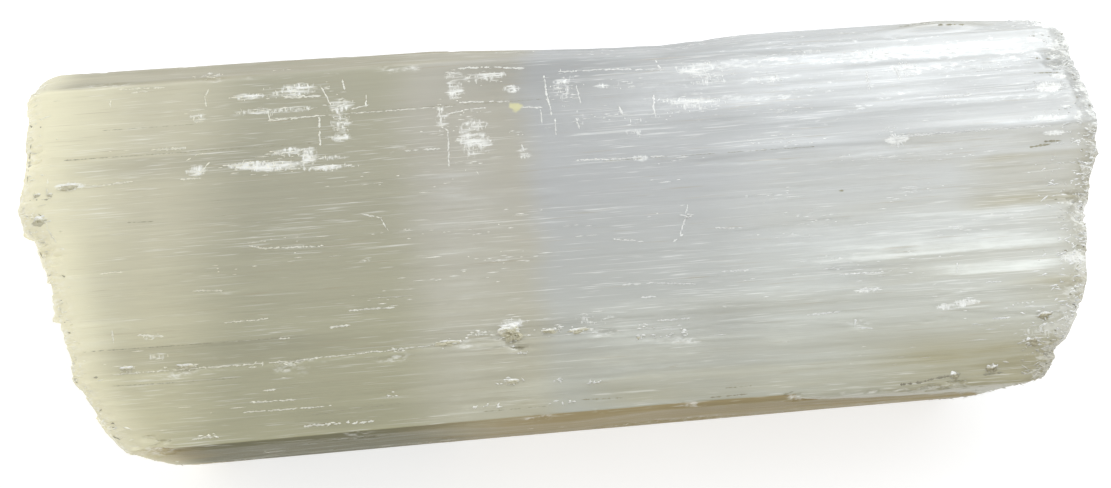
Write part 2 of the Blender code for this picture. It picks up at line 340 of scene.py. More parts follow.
def sections(column, x):
    """(y, z) of each point on the log's sections, with their edges rounded, before any relief."""
    facet, share = facet_of(column)
    yz = np.empty(x.shape + (2,))
    for i in range(len(column)):
        here, there = edge_at(facet[i], x[:, i]), edge_at(facet[i] + 1, x[:, i])
        yz[:, i] = here + (there - here) * share[i]
    reach = len(RIDGE_WEAR) // 2
    yz = sum(weight * np.roll(yz, k - reach, axis=1) for k, weight in enumerate(RIDGE_WEAR))
    return yz / sum(RIDGE_WEAR)


def strand_relief(column, x, rng):
    """How far the coarse bundles still stand out of the rubbed skin."""
    heights = rng.uniform(-STRAND_RELIEF, STRAND_RELIEF, (COLUMNS // STRAND_COLUMNS, STRAND_KNOTS))
    strand, following, step = strand_of(column)
    return np.stack([along_knots(heights[strand[i]], x[:, i]) * (1.0 - step[i])
                     + along_knots(heights[following[i]], x[:, i]) * step[i]
                     for i in range(len(column))], axis=1) * STRAND_SHARE


def with_wear(relief, x, yz, from_end, rng):
    """The relief less the chips and the worn ends, and how broken each point is."""
    broken = np.zeros(x.shape)
    ragged = raggedness(x, yz)
    for chip in CHIPS + tuple(small_chips(rng)):
        depth = dent(x, yz, chip, ragged, rng.uniform(0.8, 1.2, x.shape))
        relief = relief - depth
        broken = np.maximum(broken, depth / chip[-1])
    relief = relief - END_WEAR_DEPTH * (1.0 - np.clip(from_end / END_WEAR_LENGTH, 0.0, 1.0)) ** 2
    broken = np.maximum(broken, 1.0 - from_end / END_CRUMBLE)
    relief = relief + CRUMB * broken * rng.normal(size=x.shape)
    return relief, np.clip(broken, 0.0, 1.0)


def skin():
    """Points of the skin by station and column, how broken each of them is, and the columns."""
    rng, fine_rng, cord_rng = (np.random.default_rng(SEED + k) for k in (0, 7, 8))
    column = fine_columns()
    arc, around = arc_lengths(column)
    cord = cord_of(arc, around, cord_rng)
    left, right = end_lines(column, cord, rng, fine_rng)
    even = np.linspace(0.0, 1.0, STATIONS)
    along = even + END_CROWDING * (smooth(even) - even)
    x = left + (right - left) * along[:, None]
    yz = sections(column, x)

    relief = (strand_relief(column, x, rng) + ledge_relief(column, x)
              + cord_relief(cord, x, cord_rng) + small_ledge_relief(arc, around, x, fine_rng))
    relief, broken = with_wear(relief, x, yz, np.minimum(x - left, right - x), fine_rng)

    # The flat that the log rests on stays flat
    rest_first, rest_last = (FIRST_COLUMN[NAMES.index(RESTING_EDGES[k])] for k in (0, -1))
    resting = (column >= rest_first) & (column <= rest_last)
    relief[:, resting] = 0.0
    yz += outward(yz) * relief[..., None]
    yz[..., 1] = np.maximum(yz[..., 1], 0.0)
    yz[:, resting, 1] = 0.0
    return np.concatenate([x[..., None], yz], axis=-1), broken, column


def bundle_steps(yz, count, step, rng):
    """How far the bundle at each (y, z) of a broken end stands out of it."""
    middles = rng.uniform(*FRACTURE_REGION, (count, 2))
    heights = rng.uniform(-1.0, 1.0, count) * step
    away = np.linalg.norm(yz[:, None] - middles, axis=-1)
    return heights[away.argmin(axis=1)]


def fracture_level(rim, column, yz):
    """x of a broken end at each (y, z), ruled from its upper rim straight down to its lower rim."""
    turn = np.searchsorted(column, FIRST_COLUMN[NAMES.index("back flank")])
    upper = rim[:turn + 1]
    lower = np.vstack([rim[turn:], rim[:1]])[::-1]
    upper, lower = (line[np.argsort(line[:, 1], kind="stable")] for line in (upper, lower))
    x_up, z_up = (np.interp(yz[:, 0], upper[:, 1], upper[:, k]) for k in (0, 2))
    x_low, z_low = (np.interp(yz[:, 0], lower[:, 1], lower[:, k]) for k in (0, 2))
    height = np.clip((yz[:, 1] - z_low) / np.maximum(z_up - z_low, 1.0), 0.0, 1.0)
    return x_low + (x_up - x_low) * height


def fracture(rim, column, hollow, towards, seed):
    """Rings of points of a broken end inside its rim, and its middle point."""
    core = np.array([0.0, CORE_HEIGHT])
    rings = []
    crumble = np.random.default_rng(seed + 1)
    for share, columns_each in FINE_RINGS:
        yz = core + (rim[:, 1:] - core) * share
        steps = bundle_steps(yz, FRACTURE_BUNDLES, FRACTURE_STEP, np.random.default_rng(seed))
        steps += bundle_steps(yz, FINE_BUNDLES, FINE_BUNDLE_STEP, np.random.default_rng(seed + 2))
        steps += crumble.normal(0.0, CRUMB, len(rim))
        x = fracture_level(rim, column, yz)
        x += towards * (hollow * (1.0 - share ** 2) + steps * (1.0 - share ** 16))
        rings.append(np.column_stack([x, yz])[::columns_each])
    middle = np.array([rings[-1][:, 0].mean(), *core])
    return rings, middle


def bridge(outer, inner):
    """Faces between two rings of point numbers; the inner ring has as many or half as many."""
    each = len(outer) // len(inner)
    faces = []
    for i, here in enumerate(inner):
        there = inner[(i + 1) % len(inner)]
        arc = [outer[(each * i + k) % len(outer)] for k in range(each + 1)]
        faces += [(arc[k], arc[k + 1], there if k else here) for k in range(each)]
        faces.append((arc[1], there, here))
    return faces


def build_log_mesh():
    """Points and faces of the whole log, how worn each point is, and the skin's two counts."""
    points, broken, column = skin()
    stations, columns = broken.shape
    draw = np.random.default_rng(SEED + 1)
    seeds = draw.integers(1000), draw.integers(1000)
    ends = [fracture(points[0], column, FRACTURE_HOLLOW[0], 1, seeds[0]),
            fracture(points[-1], column, FRACTURE_HOLLOW[1], -1, seeds[1])]

    co = [points.reshape(-1, 3)]
    number = np.arange(stations * columns).reshape(stations, columns)
    following = np.roll(number, -1, axis=1)
    quads = np.stack([number[1:], following[1:], following[:-1], number[:-1]], axis=-1)
    faces = quads.reshape(-1, 4).tolist()
    count = stations * columns
    worn = [broken.ravel()]
    for rim_row, (rings, middle) in zip((0, -1), ends):
        outer = number[rim_row].tolist()
        for ring in rings:
            inner = list(range(count, count + len(ring)))
            faces += [f[::-1] for f in bridge(outer, inner)] if rim_row else bridge(outer, inner)
            co.append(ring)
            worn.append(np.ones(len(ring)))
            count += len(ring)
            outer = inner
        co.append(middle[None])
        worn.append(np.ones(1))
        fan = [(here, there, count) for here, there in zip(outer, outer[1:] + outer[:1])]
        faces += [f[::-1] for f in fan] if rim_row else fan
        count += 1
    return np.vstack(co), faces, np.concatenate(worn), (stations, columns)


# ---- Marks on the skin -------------------------------------------------------------------

# Powdery scuffs on the widest face: x and y of the middle, half length, half width, strength
SCUFFS = (
    (-59.0, 36.2, 6.5, 1.0, 0.64),
    (-60.5, 34.6, 8.0, 0.9, 0.66),
    (-70.5, 34.4, 3.6, 0.9, 0.72),
    (-67.0, 30.3, 6.0, 0.9, 0.68),
    (-60.0, 30.2, 6.5, 0.9, 0.62),
    (-49.6, 30.0, 2.4, 3.6, 0.7),
    (-49.8, 25.4, 1.8, 3.6, 0.68),
    (-50.2, 21.8, 3.0, 1.3, 0.7),
    (-71.0, 16.4, 5.5, 0.8, 0.85),
    (-65.0, 15.6, 7.5, 1.7, 0.78),
    (-62.5, 18.9, 5.0, 1.2, 0.76),
    (-57.2, 17.4, 1.3, 2.8, 0.76),
    (-52.8, 16.6, 4.2, 0.6, 0.72),
    (-53.2, 14.1, 5.6, 0.7, 0.8),
    (-82.4, 29.6, 1.8, 1.9, 0.62),
    (-83.2, 15.8, 1.6, 1.7, 0.72),
    (-73.3, 30.0, 1.2, 1.3, 0.6),
    (-16.0, 35.0, 6.5, 1.8, 0.66),
    (-22.8, 32.0, 1.1, 5.0, 0.72),
    (-19.3, 18.6, 4.0, 7.0, 0.64),
    (-9.6, 31.2, 1.0, 1.2, 0.75),
    (2.6, 30.0, 3.6, 5.4, 0.58),
    (11.6, 30.2, 1.0, 0.8, 0.75),
    (34.0, 33.2, 5.5, 2.0, 0.7),
    (36.0, 30.0, 5.0, 2.4, 0.58),
    (33.0, 23.4, 5.5, 2.2, 0.62),
    (75.0, 33.4, 6.0, 2.2, 0.66),
    (82.0, 28.8, 3.2, 2.2, 0.6),
    (77.5, 10.0, 1.8, 1.2, 0.9),
    (114.5, 20.8, 2.6, 1.9, 1.0),
    (117.3, 23.7, 0.9, 0.7, 1.0),
    (113.0, 12.4, 6.0, 0.9, 0.8),
    (114.0, 8.8, 2.5, 0.5, 0.8),
    (-112.5, 14.4, 3.0, 0.9, 0.9),
    (2.5, -27.2, 2.3, 1.6, 0.6),
    (7.5, -27.3, 1.2, 1.6, 0.5),
    (-13.8, -26.6, 2.6, 1.0, 0.8),
    (67.0, -25.3, 2.4, 0.5, 0.75),
    (85.5, -30.3, 3.6, 0.6, 0.8),
    (89.0, -29.6, 3.0, 0.7, 0.8),
    (104.5, -37.5, 4.0, 2.6, 0.5),
    (115.0, -21.0, 3.0, 1.9, 0.85),
    (118.4, -9.5, 1.5, 3.0, 0.65),
    (-46.2, -9.0, 1.2, 0.5, 0.5),
    (16.0, 30.6, 4.0, 1.6, 0.5),
    (27.0, 24.6, 5.0, 1.2, 0.6),
    (18.5, 10.2, 1.4, 1.0, 0.7),
    (-8.0, 13.6, 0.9, 1.7, 0.64),
    (-26.4, 24.5, 0.6, 6.0, 0.62),
    (-23.0, 36.0, 1.3, 1.5, 0.68),
    (18.0, 17.0, 2.2, 1.2, 0.52),
    (5.6, 21.6, 1.4, 2.4, 0.55),
    (21.0, 20.5, 7.0, 1.2, 0.46),
    (50.0, 28.8, 4.0, 1.4, 0.58),
    (94.0, 33.6, 9.0, 1.6, 0.5),
    (104.0, 28.0, 7.0, 1.6, 0.46),
    (58.0, 35.4, 8.0, 0.8, 0.5),
    (-95.5, -23.1, 2.6, 0.6, 0.6),
    (-94.8, -27.6, 2.4, 1.0, 0.6),
    (-21.0, -28.4, 2.6, 0.6, 0.6),
    (-79.5, 42.0, 3.0, 1.4, 0.58),
    (-62.5, 41.6, 2.4, 0.8, 0.55),
)

# Single scratches on it: (x, y) of their bends, and their width
SCRATCHES = (
    (((-62.2, 33.8), (-54.4, 33.4)), 0.45),
    (((-66.2, 29.7), (-66.0, 27.5), (-54.3, 27.9)), 0.35),
    (((-54.5, 27.9), (-54.7, 23.0), (-54.6, 20.3)), 0.55),
    (((-43.3, 33.0), (-43.6, 29.7), (-46.8, 29.1)), 0.4),
    (((-48.7, 36.9), (-48.4, 34.6)), 0.5),
    (((-53.6, 35.4), (-52.4, 32.6), (-51.8, 30.6)), 0.4),
    (((-79.9, 37.4), (-80.8, 35.0), (-80.7, 32.5)), 0.5),
    (((-82.3, 15.4), (-80.6, 17.5)), 0.4),
    (((-85.1, 18.9), (-83.0, 20.1), (-80.5, 20.0)), 0.35),
    (((-86.5, 14.1), (-82.6, 14.0)), 0.4),
    (((-21.7, 37.9), (-14.0, 37.6), (-6.7, 36.6)), 0.6),
    (((-26.9, 28.2), (-26.4, 22.3), (-25.1, 21.2), (-25.5, 12.2)), 0.4),
    (((-21.9, 28.6), (-10.2, 27.8)), 0.35),
    (((-24.6, 25.7), (-20.0, 26.6), (-16.3, 26.6)), 0.35),
    (((-1.9, 33.9), (-1.7, 28.9), (-0.9, 23.8)), 0.55),
    (((-0.3, 22.5), (-0.3, 18.1)), 0.4),
    (((5.3, 31.6), (5.9, 26.5)), 0.35),
    (((4.6, 22.1), (5.1, 19.2)), 0.45),
    (((-7.5, 26.0), (-3.3, 25.5), (-3.4, 21.5)), 0.3),
    (((15.1, 23.6), (15.4, 22.0)), 0.5),
    (((23.1, 26.2), (22.7, 23.4), (22.9, 20.4)), 0.55),
    (((24.5, 35.9), (25.3, 33.4)), 0.5),
    (((73.1, 28.1), (73.0, 24.2)), 0.5),
    (((79.5, 30.5), (80.5, 26.0)), 0.6),
    (((-8.3, 15.5), (-8.0, 12.5)), 0.5),
    (((-117.4, 16.5), (-117.8, 12.7)), 0.4),
    (((-107.1, 14.1), (-98.0, 14.5)), 0.4),
    (((-93.2, 22.0), (-85.7, 21.9)), 0.6),
    (((-102.7, 36.5), (-102.8, 34.8)), 0.4),
    (((-118.4, 7.5), (-117.6, 4.0), (-115.9, 1.2)), 0.35),
    (((77.5, 10.6), (95.0, 10.8), (114.0, 10.6)), 0.35),
    (((93.8, -33.7), (98.4, -33.8)), 0.35),
    (((-46.0, 2.0), (-42.0, 0.8), (-40.5, -2.4)), 0.3),
    (((28.2, -1.6), (27.4, -5.0), (25.8, -8.8)), 0.3),
    (((26.6, -4.3), (28.6, -4.6)), 0.45),
    (((64.4, -33.6), (67.2, -33.8)), 0.4),
    (((65.2, -25.0), (69.2, -25.0)), 0.5),
    (((-104.0, -30.9), (-92.0, -31.0), (-66.0, -31.1), (-33.0, -30.2)), 0.3),
    (((-72.4, -3.4), (-69.0, -4.4), (-55.5, -4.9)), 0.35),
    (((-85.0, -13.2), (-79.0, -13.6)), 0.35),
    (((-106.0, -7.3), (-100.0, -7.3)), 0.35),
    (((-97.8, -22.6), (-93.2, -23.2)), 0.6),
    (((-104.0, -20.5), (-103.8, -24.0)), 0.4),
    (((-79.0, -21.3), (-68.8, -21.1)), 0.3),
    (((-51.0, -20.6), (-40.0, -20.7)), 0.35),
    (((-54.8, -24.2), (-50.4, -24.1)), 0.45),
    (((-66.4, -26.0), (-64.0, -26.0)), 0.5),
    (((-71.0, -37.4), (-68.4, -37.4)), 0.4),
    (((-75.0, -39.6), (-64.0, -39.9)), 0.25),
    (((-75.0, -41.8), (-56.0, -41.9)), 0.3),
    (((-87.6, -46.8), (-83.0, -46.5)), 0.4),
    (((-62.0, -45.9), (-56.4, -45.8)), 0.5),
    (((-51.0, -46.2), (-47.0, -46.0)), 0.5),
    (((-101.0, 39.2), (-90.4, 38.7)), 0.35),
    (((-98.8, 38.0), (-94.6, 38.0)), 0.4),
    (((-66.0, 27.9), (-40.0, 27.8), (-24.0, 27.7)), 0.22),
    (((-62.0, 33.4), (-54.4, 33.3)), 0.4),
    (((-77.0, 16.6), (-70.0, 16.6)), 0.5),
    (((-75.0, 34.5), (-72.0, 34.5)), 0.4),
    (((34.8, -18.3), (40.2, -18.4)), 0.4),
    (((34.0, -7.9), (40.0, -8.4)), 0.3),
    (((57.6, -19.6), (62.4, -19.6)), 0.3),
    (((60.0, -21.0), (70.0, -21.2)), 0.35),
    (((52.8, -29.8), (60.2, -29.6)), 0.4),
    (((63.6, -31.2), (63.3, -33.0)), 0.5),
    (((88.0, -19.8), (87.8, -22.4)), 0.5),
    (((94.0, -25.5), (97.0, -25.5)), 0.3),
    (((100.8, -30.8), (104.0, -30.8)), 0.4),
    (((78.6, 10.9), (94.5, 10.7)), 0.4),
    (((89.0, 20.4), (96.6, 20.5)), 0.6),
    (((72.8, 27.8), (73.0, 24.0)), 0.4),
    (((24.6, -9.9), (26.2, -9.0)), 0.6),
    (((2.0, 34.9), (14.0, 34.6), (26.0, 33.4)), 0.4),
    (((3.0, 11.0), (12.0, 10.6), (24.0, 10.4)), 0.35),
    (((-35.0, 16.8), (-27.5, 16.7)), 0.5),
    (((12.0, -19.6), (18.0, -19.9)), 0.35),
    (((18.0, -19.7), (28.0, -20.8)), 0.3),
    (((16.0, -23.0), (18.5, -23.0)), 0.45),
    (((10.6, -8.8), (17.0, -9.8)), 0.3),
    (((19.0, -28.6), (26.0, -28.6)), 0.3),
    (((-32.7, -6.3), (-32.1, -6.8)), 0.8),
    (((76.2, 11.5), (78.9, 8.6)), 0.5),
    (((77.3, 12.2), (77.7, 8.2)), 0.5),
    (((75.4, 9.8), (79.8, 10.2)), 0.5),
)

# Bruises, where the skin is crushed and swollen: x, y, half length, half width and height
BRUISES = (
    (-14.2, -28.9, 3.0, 2.3, 1.3),
    (-29.2, -29.8, 4.2, 0.9, 0.5),
    (-21.0, -28.4, 2.6, 0.7, 0.4),
    (-40.0, -30.5, 1.8, 0.7, 0.4),
    (-5.8, -29.0, 2.6, 0.9, 0.55),
    (0.6, -29.5, 3.4, 0.8, 0.5),
    (16.6, -29.6, 1.2, 0.7, 0.4),
    (14.2, -32.1, 0.7, 0.6, 0.5),
    (21.0, -32.0, 5.0, 0.5, 0.35),
    (24.6, -31.5, 0.6, 0.7, 0.4),
    (-12.4, -33.6, 2.0, 0.4, 0.3),
    (-65.0, -31.4, 2.6, 0.7, 0.4),
    (-72.0, -31.6, 1.8, 0.5, 0.3),
    (-88.0, -30.4, 2.8, 0.8, 0.5),
    (-101.0, -30.0, 2.2, 0.8, 0.5),
    (-15.0, -39.8, 2.6, 1.0, 0.6),
    (-4.2, -40.2, 1.5, 0.5, 0.35),
    (2.7, -41.4, 2.1, 0.5, 0.35),
    (-41.8, -40.6, 1.2, 0.6, 0.4),
    (-21.5, -44.8, 3.4, 0.5, 0.35),
    (-4.0, -45.3, 3.2, 0.4, 0.3),
    (93.5, -44.6, 1.6, 1.1, 0.7),
    (84.7, -45.6, 1.3, 1.0, 0.6),
    (-112.6, 14.3, 2.7, 0.9, 0.6),
    (-120.0, 12.9, 1.0, 0.7, 0.5),
    (-117.0, 12.7, 0.8, 0.7, 0.5),
    (-119.5, 6.5, 2.0, 1.5, 0.7),
    (27.6, -4.6, 0.8, 0.6, 0.4),
    (-84.0, -46.2, 3.0, 0.5, 0.3),
    (-54.0, -45.8, 4.0, 0.5, 0.4),
    (106.5, -34.0, 2.2, 1.4, 0.5),
    (103.0, -39.5, 2.4, 1.2, 0.5),
)

# Stretches of the upper faces: x from and to, y from and to, width of the soft edge at each of
# those two, and strength. A painted sheen lightens these, where the fibres catch the light
PAINTED_SHEEN_PATCHES = (
    (24.0, 80.0, 31.0, 35.6, 2.0, 2.0, 0.6),
    (62.0, 121.0, 30.2, 36.0, 1.6, 1.8, 0.64),
    (36.0, 66.0, 27.4, 30.2, 1.4, 1.2, 0.45),
    (62.0, 121.0, 26.0, 31.0, 2.4, 1.6, 0.45),
    (60.0, 100.0, 22.2, 23.8, 0.5, 0.9, 0.25),
    (86.0, 122.0, 17.4, 19.6, 0.6, 0.8, 0.3),
    (92.0, 128.0, 11.2, 13.6, 0.5, 1.4, 0.8),
    (70.0, 110.0, 10.8, 12.0, 0.4, 0.6, 0.55),
    (20.0, 60.0, 22.0, 25.6, 1.5, 1.5, 0.5),
    (30.0, 60.0, -36.0, -2.0, 10.0, 8.0, 0.24),
    (58.0, 114.0, 5.5, 9.6, 1.5, 0.6, 0.4),
    (34.0, 56.0, -38.0, -20.0, 4.0, 4.0, 0.45),
    (-38.0, -12.0, 2.0, 12.0, 2.0, 2.0, 0.35),
    (-130.0, -94.0, -32.0, -6.0, 3.0, 3.0, 0.26),
    (8.0, 42.0, 20.0, 34.0, 3.0, 3.0, 0.24),
    (-30.0, 8.0, -47.0, -31.0, 4.0, 4.0, 0.36),
    (46.0, 64.0, -31.0, -26.0, 1.0, 1.0, 0.35),
    (40.0, 122.0, -14.5, -5.0, 4.0, 4.0, 0.4),
    (44.0, 121.0, -18.3, -11.4, 0.35, 4.0, 0.72),
    (82.0, 123.0, -17.6, -14.6, 0.35, 1.5, 0.8),
    (74.0, 119.0, -23.4, -19.4, 0.35, 1.8, 0.75),
    (90.0, 120.0, -23.0, -20.4, 0.35, 1.2, 0.9),
    (24.0, 76.0, -38.0, -24.0, 5.0, 5.0, 0.2),
    (-44.0, -4.0, -54.0, 8.0, 4.0, 4.0, 0.25),
    (-14.0, 44.0, -44.0, -21.0, 5.0, 5.0, 0.3),
)

# Tan stretches, given likewise: the stone's own stains, and painted shade where facets turn from the
# light
STAIN_AND_SHADE_PATCHES = (
    (30.0, 150.0, -12.0, 11.0, 6.0, 6.0, 0.15),
    (70.0, 160.0, 3.0, 11.0, 0.7, 0.4, 0.22),
    (84.0, 160.0, -8.0, 10.2, 5.0, 1.5, 0.3),
    (84.0, 160.0, -10.0, 6.0, 3.0, 3.0, 0.8),
    (90.0, 160.0, -34.0, 6.0, 6.0, 3.0, 0.35),
    (88.0, 160.0, -33.0, -22.0, 3.0, 5.0, 0.75),
    (60.0, 160.0, -25.0, -15.0, 1.0, 2.0, 0.3),
    (-34.0, 150.0, -60.0, -22.0, 6.0, 6.0, 0.18),
    (-10.0, 150.0, -60.0, -37.0, 4.0, 5.0, 0.46),
    (30.0, 150.0, -64.0, -22.0, 9.0, 9.0, 0.24),
    (40.0, 150.0, -66.0, -31.0, 12.0, 12.0, 0.85),
    (-22.0, -3.0, 6.0, 50.0, 5.0, 5.0, 0.35),
    (-140.0, 0.0, 39.5, 60.0, 1.5, 1.5, 0.7),
    (74.0, 112.0, 39.0, 60.0, 1.5, 1.5, 0.35),
)

# Stretches of painted shade, darker than what is round them, given likewise
PAINTED_SHADE_PATCHES = (
    (-122.0, -44.0, -31.2, -25.6, 3.0, 0.3, 0.4),
    (-122.0, -64.0, 13.0, 20.7, 4.0, 0.3, 0.55),
    (-140.0, 10.0, 40.2, 60.0, 1.2, 1.0, 0.55),
    (-34.0, 30.0, 27.0, 60.0, 6.0, 4.0, 0.7),
    (26.0, 128.0, 13.2, 22.4, 2.0, 0.8, 0.5),
    (78.0, 150.0, 17.0, 32.0, 3.0, 3.0, 0.75),
    (-22.0, 6.0, 17.0, 32.0, 3.0, 3.0, 0.3),
    (62.0, 100.0, 29.4, 31.8, 0.6, 0.6, 0.5),
    (16.0, 122.0, 35.4, 44.0, 1.2, 1.0, 0.5),
    (14.0, 104.0, -52.0, -44.8, 1.0, 1.5, 0.45),
    (52.0, 84.0, -24.5, -18.5, 3.0, 0.3, 0.35),
    (60.0, 118.0, -27.5, -23.5, 3.0, 0.3, 0.16),
    (84.0, 130.0, -52.0, -39.0, 2.0, 6.0, 0.5),
    (-70.0, -26.0, -47.5, -42.0, 1.0, 0.4, 0.3),
)

# Hairline cracks and dark lines of painted shade: (x, y) of their bends, and their width
CRACKS_AND_SHADE_LINES = (
    (((-113.0, 21.2), (-84.0, 20.9), (-57.0, 20.8)), 0.28),
    (((-112.0, -25.4), (-88.0, -25.7), (-64.0, -25.8)), 0.26),
    (((-104.0, 28.2), (-84.0, 28.0)), 0.16),
    (((-45.0, 28.3), (-10.0, 27.8), (-3.0, 27.8)), 0.16),
    (((0.9, -45.0), (9.5, -45.3)), 0.4),
    (((-60.0, -43.4), (-41.0, -42.6)), 0.3),
    (((-22.0, -45.9), (-8.0, -45.8)), 0.3),
    (((30.0, -46.6), (38.0, -46.4)), 0.45),
    (((33.0, -44.7), (41.0, -44.6)), 0.3),
    (((108.6, 5.9), (112.4, 6.2)), 0.9),
    (((112.0, 6.9), (117.0, 6.8)), 0.6),
    (((118.7, 0.4), (119.1, -1.8)), 0.8),
    (((-121.2, 27.0), (-121.8, 22.0), (-122.3, 17.0)), 0.5),
    (((-123.2, 24.5), (-122.6, 30.0)), 0.4),
    (((-104.0, -33.6), (-92.0, -33.9), (-76.0, -34.0)), 0.2),
    (((63.3, -1.2), (64.4, -1.3)), 0.6),
    # A dark line of painted shade in the undercut at the lower right
    (((72.5, -46.8), (77.0, -46.6), (80.0, -46.0), (85.6, -45.4)), 0.9),
    (((46.5, -47.0), (49.8, -46.2)), 0.7),
    (((92.0, -45.9), (96.0, -45.7)), 0.6),
    (((83.0, 41.0), (90.0, 41.6)), 0.5),
    (((91.0, 40.4), (99.0, 40.0)), 0.7),
    (((113.0, 29.0), (117.0, 28.6)), 0.6),
    (((112.0, 25.0), (119.0, 24.6)), 0.35),
    (((115.0, 35.4), (118.0, 34.4)), 0.5),
    # A dark line of painted shadow under the big bruise
    (((-14.6, -32.0), (-11.6, -32.1)), 0.8),
    (((-123.0, 21.0), (-121.0, 19.4)), 0.9),
    (((-122.5, 12.0), (-118.0, 11.6)), 0.6),
    (((-123.6, 6.2), (-121.0, 5.6)), 0.8),
    (((-120.4, 1.0), (-119.0, -3.0)), 0.6),
    (((-110.8, -36.0), (-108.2, -40.0)), 0.8),
    (((-106.0, -43.5), (-103.5, -45.5)), 0.7),
    (((-99.0, 4.4), (-94.0, 4.2)), 0.3),
    (((10.0, 10.2), (40.0, 10.0), (58.0, 9.9)), 0.14),
)
LICHEN_PLACE = (-0.0089, 0.0262, 0.0478)  # of the one yellow speck, in metres
STAIN_NICKS = (34, 90)  # dark nicks round the left and the right end

SWOLLEN = 0.45  # a bruise lower than this has no lump under its flakes
FLAKES_PER_MM2 = 1.7  # slivers in a scuff of full strength
STREWN = (-118.0, 60.0, 116.0)  # loose flakes: x from, where most of them lie, and to
CRUMB_BAND = (1.2, 2.4)  # how far the crumbs of the left and the right end reach in
RIM_LENGTH = 13.0  # how far in from a broken end the skin's colour changes
FLAKE_RISE = 0.05  # usual height of a flake over the skin
TALLEST_STEP = 0.8  # most that a sliver may climb from end to end
BRUISE_RINGS, BRUISE_SPOKES, BRUISE_LOBES = 10, 44, 13  # in each lump
BRUISE_ROOT = 0.8  # how far a lump reaches down into the log, beyond its own height
PATCH_FADE = (24.0, 38.0)  # heights at which the painted sheen, the tan and the painted shade stretches fade out
SCUFFED_ABOVE = 38.0  # height of the lowest skin that a scuff whitens
FROM_ABOVE, FROM_AROUND = 80.0, 90.0  # where the lines that look for the skin start
LIP_SHARE = 0.7  # share of a coarse column above the lip that still belongs to the flank


class Skin:
    """The finished skin, to lay marks on."""

    def __init__(self, co, faces):
        self.tree = BVHTree.FromPolygons(co.tolist(), faces)

    def below(self, x, y):
        """Where a plumb line at (x, y) meets the skin, and the way out of it there."""
        hit, normal = self.tree.ray_cast(Vector((x, y, FROM_ABOVE)), DOWN)[:2]
        return (np.array(hit), np.array(normal)) if hit else (None, None)

    def round_at(self, x, turn):
        """Where a line from far out, at an angle round the log, meets the skin."""
        way = Vector((0.0, math.cos(turn), math.sin(turn)))
        start = Vector((x, 0.0, CORE_HEIGHT)) + FROM_AROUND * way
        hit, normal = self.tree.ray_cast(start, -way)[:2]
        return (np.array(hit), np.array(normal)) if hit else (None, None)

    def nearest(self, point):
        """The point of the skin nearest to one beside it, and the way out of it there."""
        hit, normal = self.tree.find_nearest(Vector(point))[:2]
        return np.array(hit), np.array(normal)


class Slivers:
    """Gathers small closed slivers, each with pointed ends, into one mesh."""

    SINK, DEPTH = 0.02, 0.15  # how far the ends and the belly lie below the skin
    FACES = ((0, 2, 4), (0, 4, 3), (0, 3, 5), (0, 5, 2), (1, 4, 2), (1, 3, 4), (1, 5, 3), (1, 2, 5))

    def __init__(self):
        self.points, self.faces = [], []

    def add(self, start, end, normal, width, rise, belly=0.5):
        """One sliver, widest and highest at the share of its length that belly gives."""
        middle = start + (end - start) * belly
        across = np.cross(end - start, normal)
        across *= width / 2 / max(np.linalg.norm(across), 1e-9)
        first = 6 * (len(self.faces) // len(self.FACES))
        self.points += [start - self.SINK * normal, end - self.SINK * normal, middle + across,
                        middle - across, middle + rise * normal, middle - self.DEPTH * normal]
        self.faces += [tuple(first + k for k in face) for face in self.FACES]

    def mesh(self, name):
        """All slivers gathered so far, as one mesh."""
        return mesh_of(name, np.array(self.points), self.faces)


def mesh_of(name, co, faces):
    """A mesh in metres from points in millimetres."""
    mesh = bpy.data.meshes.new(name)
    mesh.from_pydata((co * MM).tolist(), [], faces)
    mesh.update()
    return mesh


def scuff_weight(co):
    """How powdery each point is, from the scuffs on the widest face."""
    weight = np.zeros(len(co))
    for x, y, along, across, strength in SCUFFS:
        reach = np.hypot((co[:, 0] - x) / (along + 2.0), (co[:, 1] - y) / (across + 0.5))
        weight = np.maximum(weight, strength * smooth((1.25 - reach) / 0.9))
    return weight * (co[:, 2] > SCUFFED_ABOVE)


def patch_weight(co, patches):
    """How far each point of the upper faces lies in any of the patches, with soft edges."""
    weight = np.zeros(len(co))
    x, y = co[:, 0], co[:, 1]
    for index, (x_from, x_to, y_from, y_to, low_edge, high_edge, strength) in enumerate(patches):
        sway = 0.25 * np.sin(0.13 * x + index) + 0.12 * np.sin(0.41 * x + 2.3 * index)
        along = smooth(np.minimum(x - x_from, x_to - x) / (9.0 + 3.0 * max(low_edge, high_edge)))
        across = smooth((y + sway - y_from) / low_edge) * smooth((y_to - y - sway) / high_edge)
        weight = np.maximum(weight, strength * along * across)
    return weight * smooth((co[:, 2] - PATCH_FADE[0]) / (PATCH_FADE[1] - PATCH_FADE[0]))


# Marks where the front flank's painted shade goes
def flank_weight(co, stations, columns):
    """1 on the front flank, from the lip down, and lower down past where the lip is chipped away."""
    weight = np.zeros(len(co))
    place = co[:stations * columns].reshape(stations, columns, 3)
    x, z = place[..., 0], place[..., 2]
    top = np.interp(x, (42.0, 50.0, 90.0, 104.0), (60.0, 41.0, 31.0, 8.0))
    top += 3.0 * raggedness(0.8 * x, 0.5 * place[..., 1:])
    softness = np.interp(x, (44.0, 56.0), (2.0, 11.0))
    below_top = smooth(0.5 + (top - z) / softness)
    column = fine_columns()
    below_lip = (column > FIRST_COLUMN[NAMES.index("middle of the rest")]) | (column < LIP_SHARE)
    weight[:stations * columns] = (below_top * below_lip).ravel()
    return weight


def closeness_to_end(co, stations, columns):
    """1 on the broken ends and at their rims, falling to 0 over the length of a rim."""
    x = co[:stations * columns, 0].reshape(stations, columns)
    reach = np.minimum(x - x[0], x[-1] - x)
    close = np.ones(len(co))
    close[:stations * columns] = smooth(1.0 - reach / RIM_LENGTH).ravel()
    return close


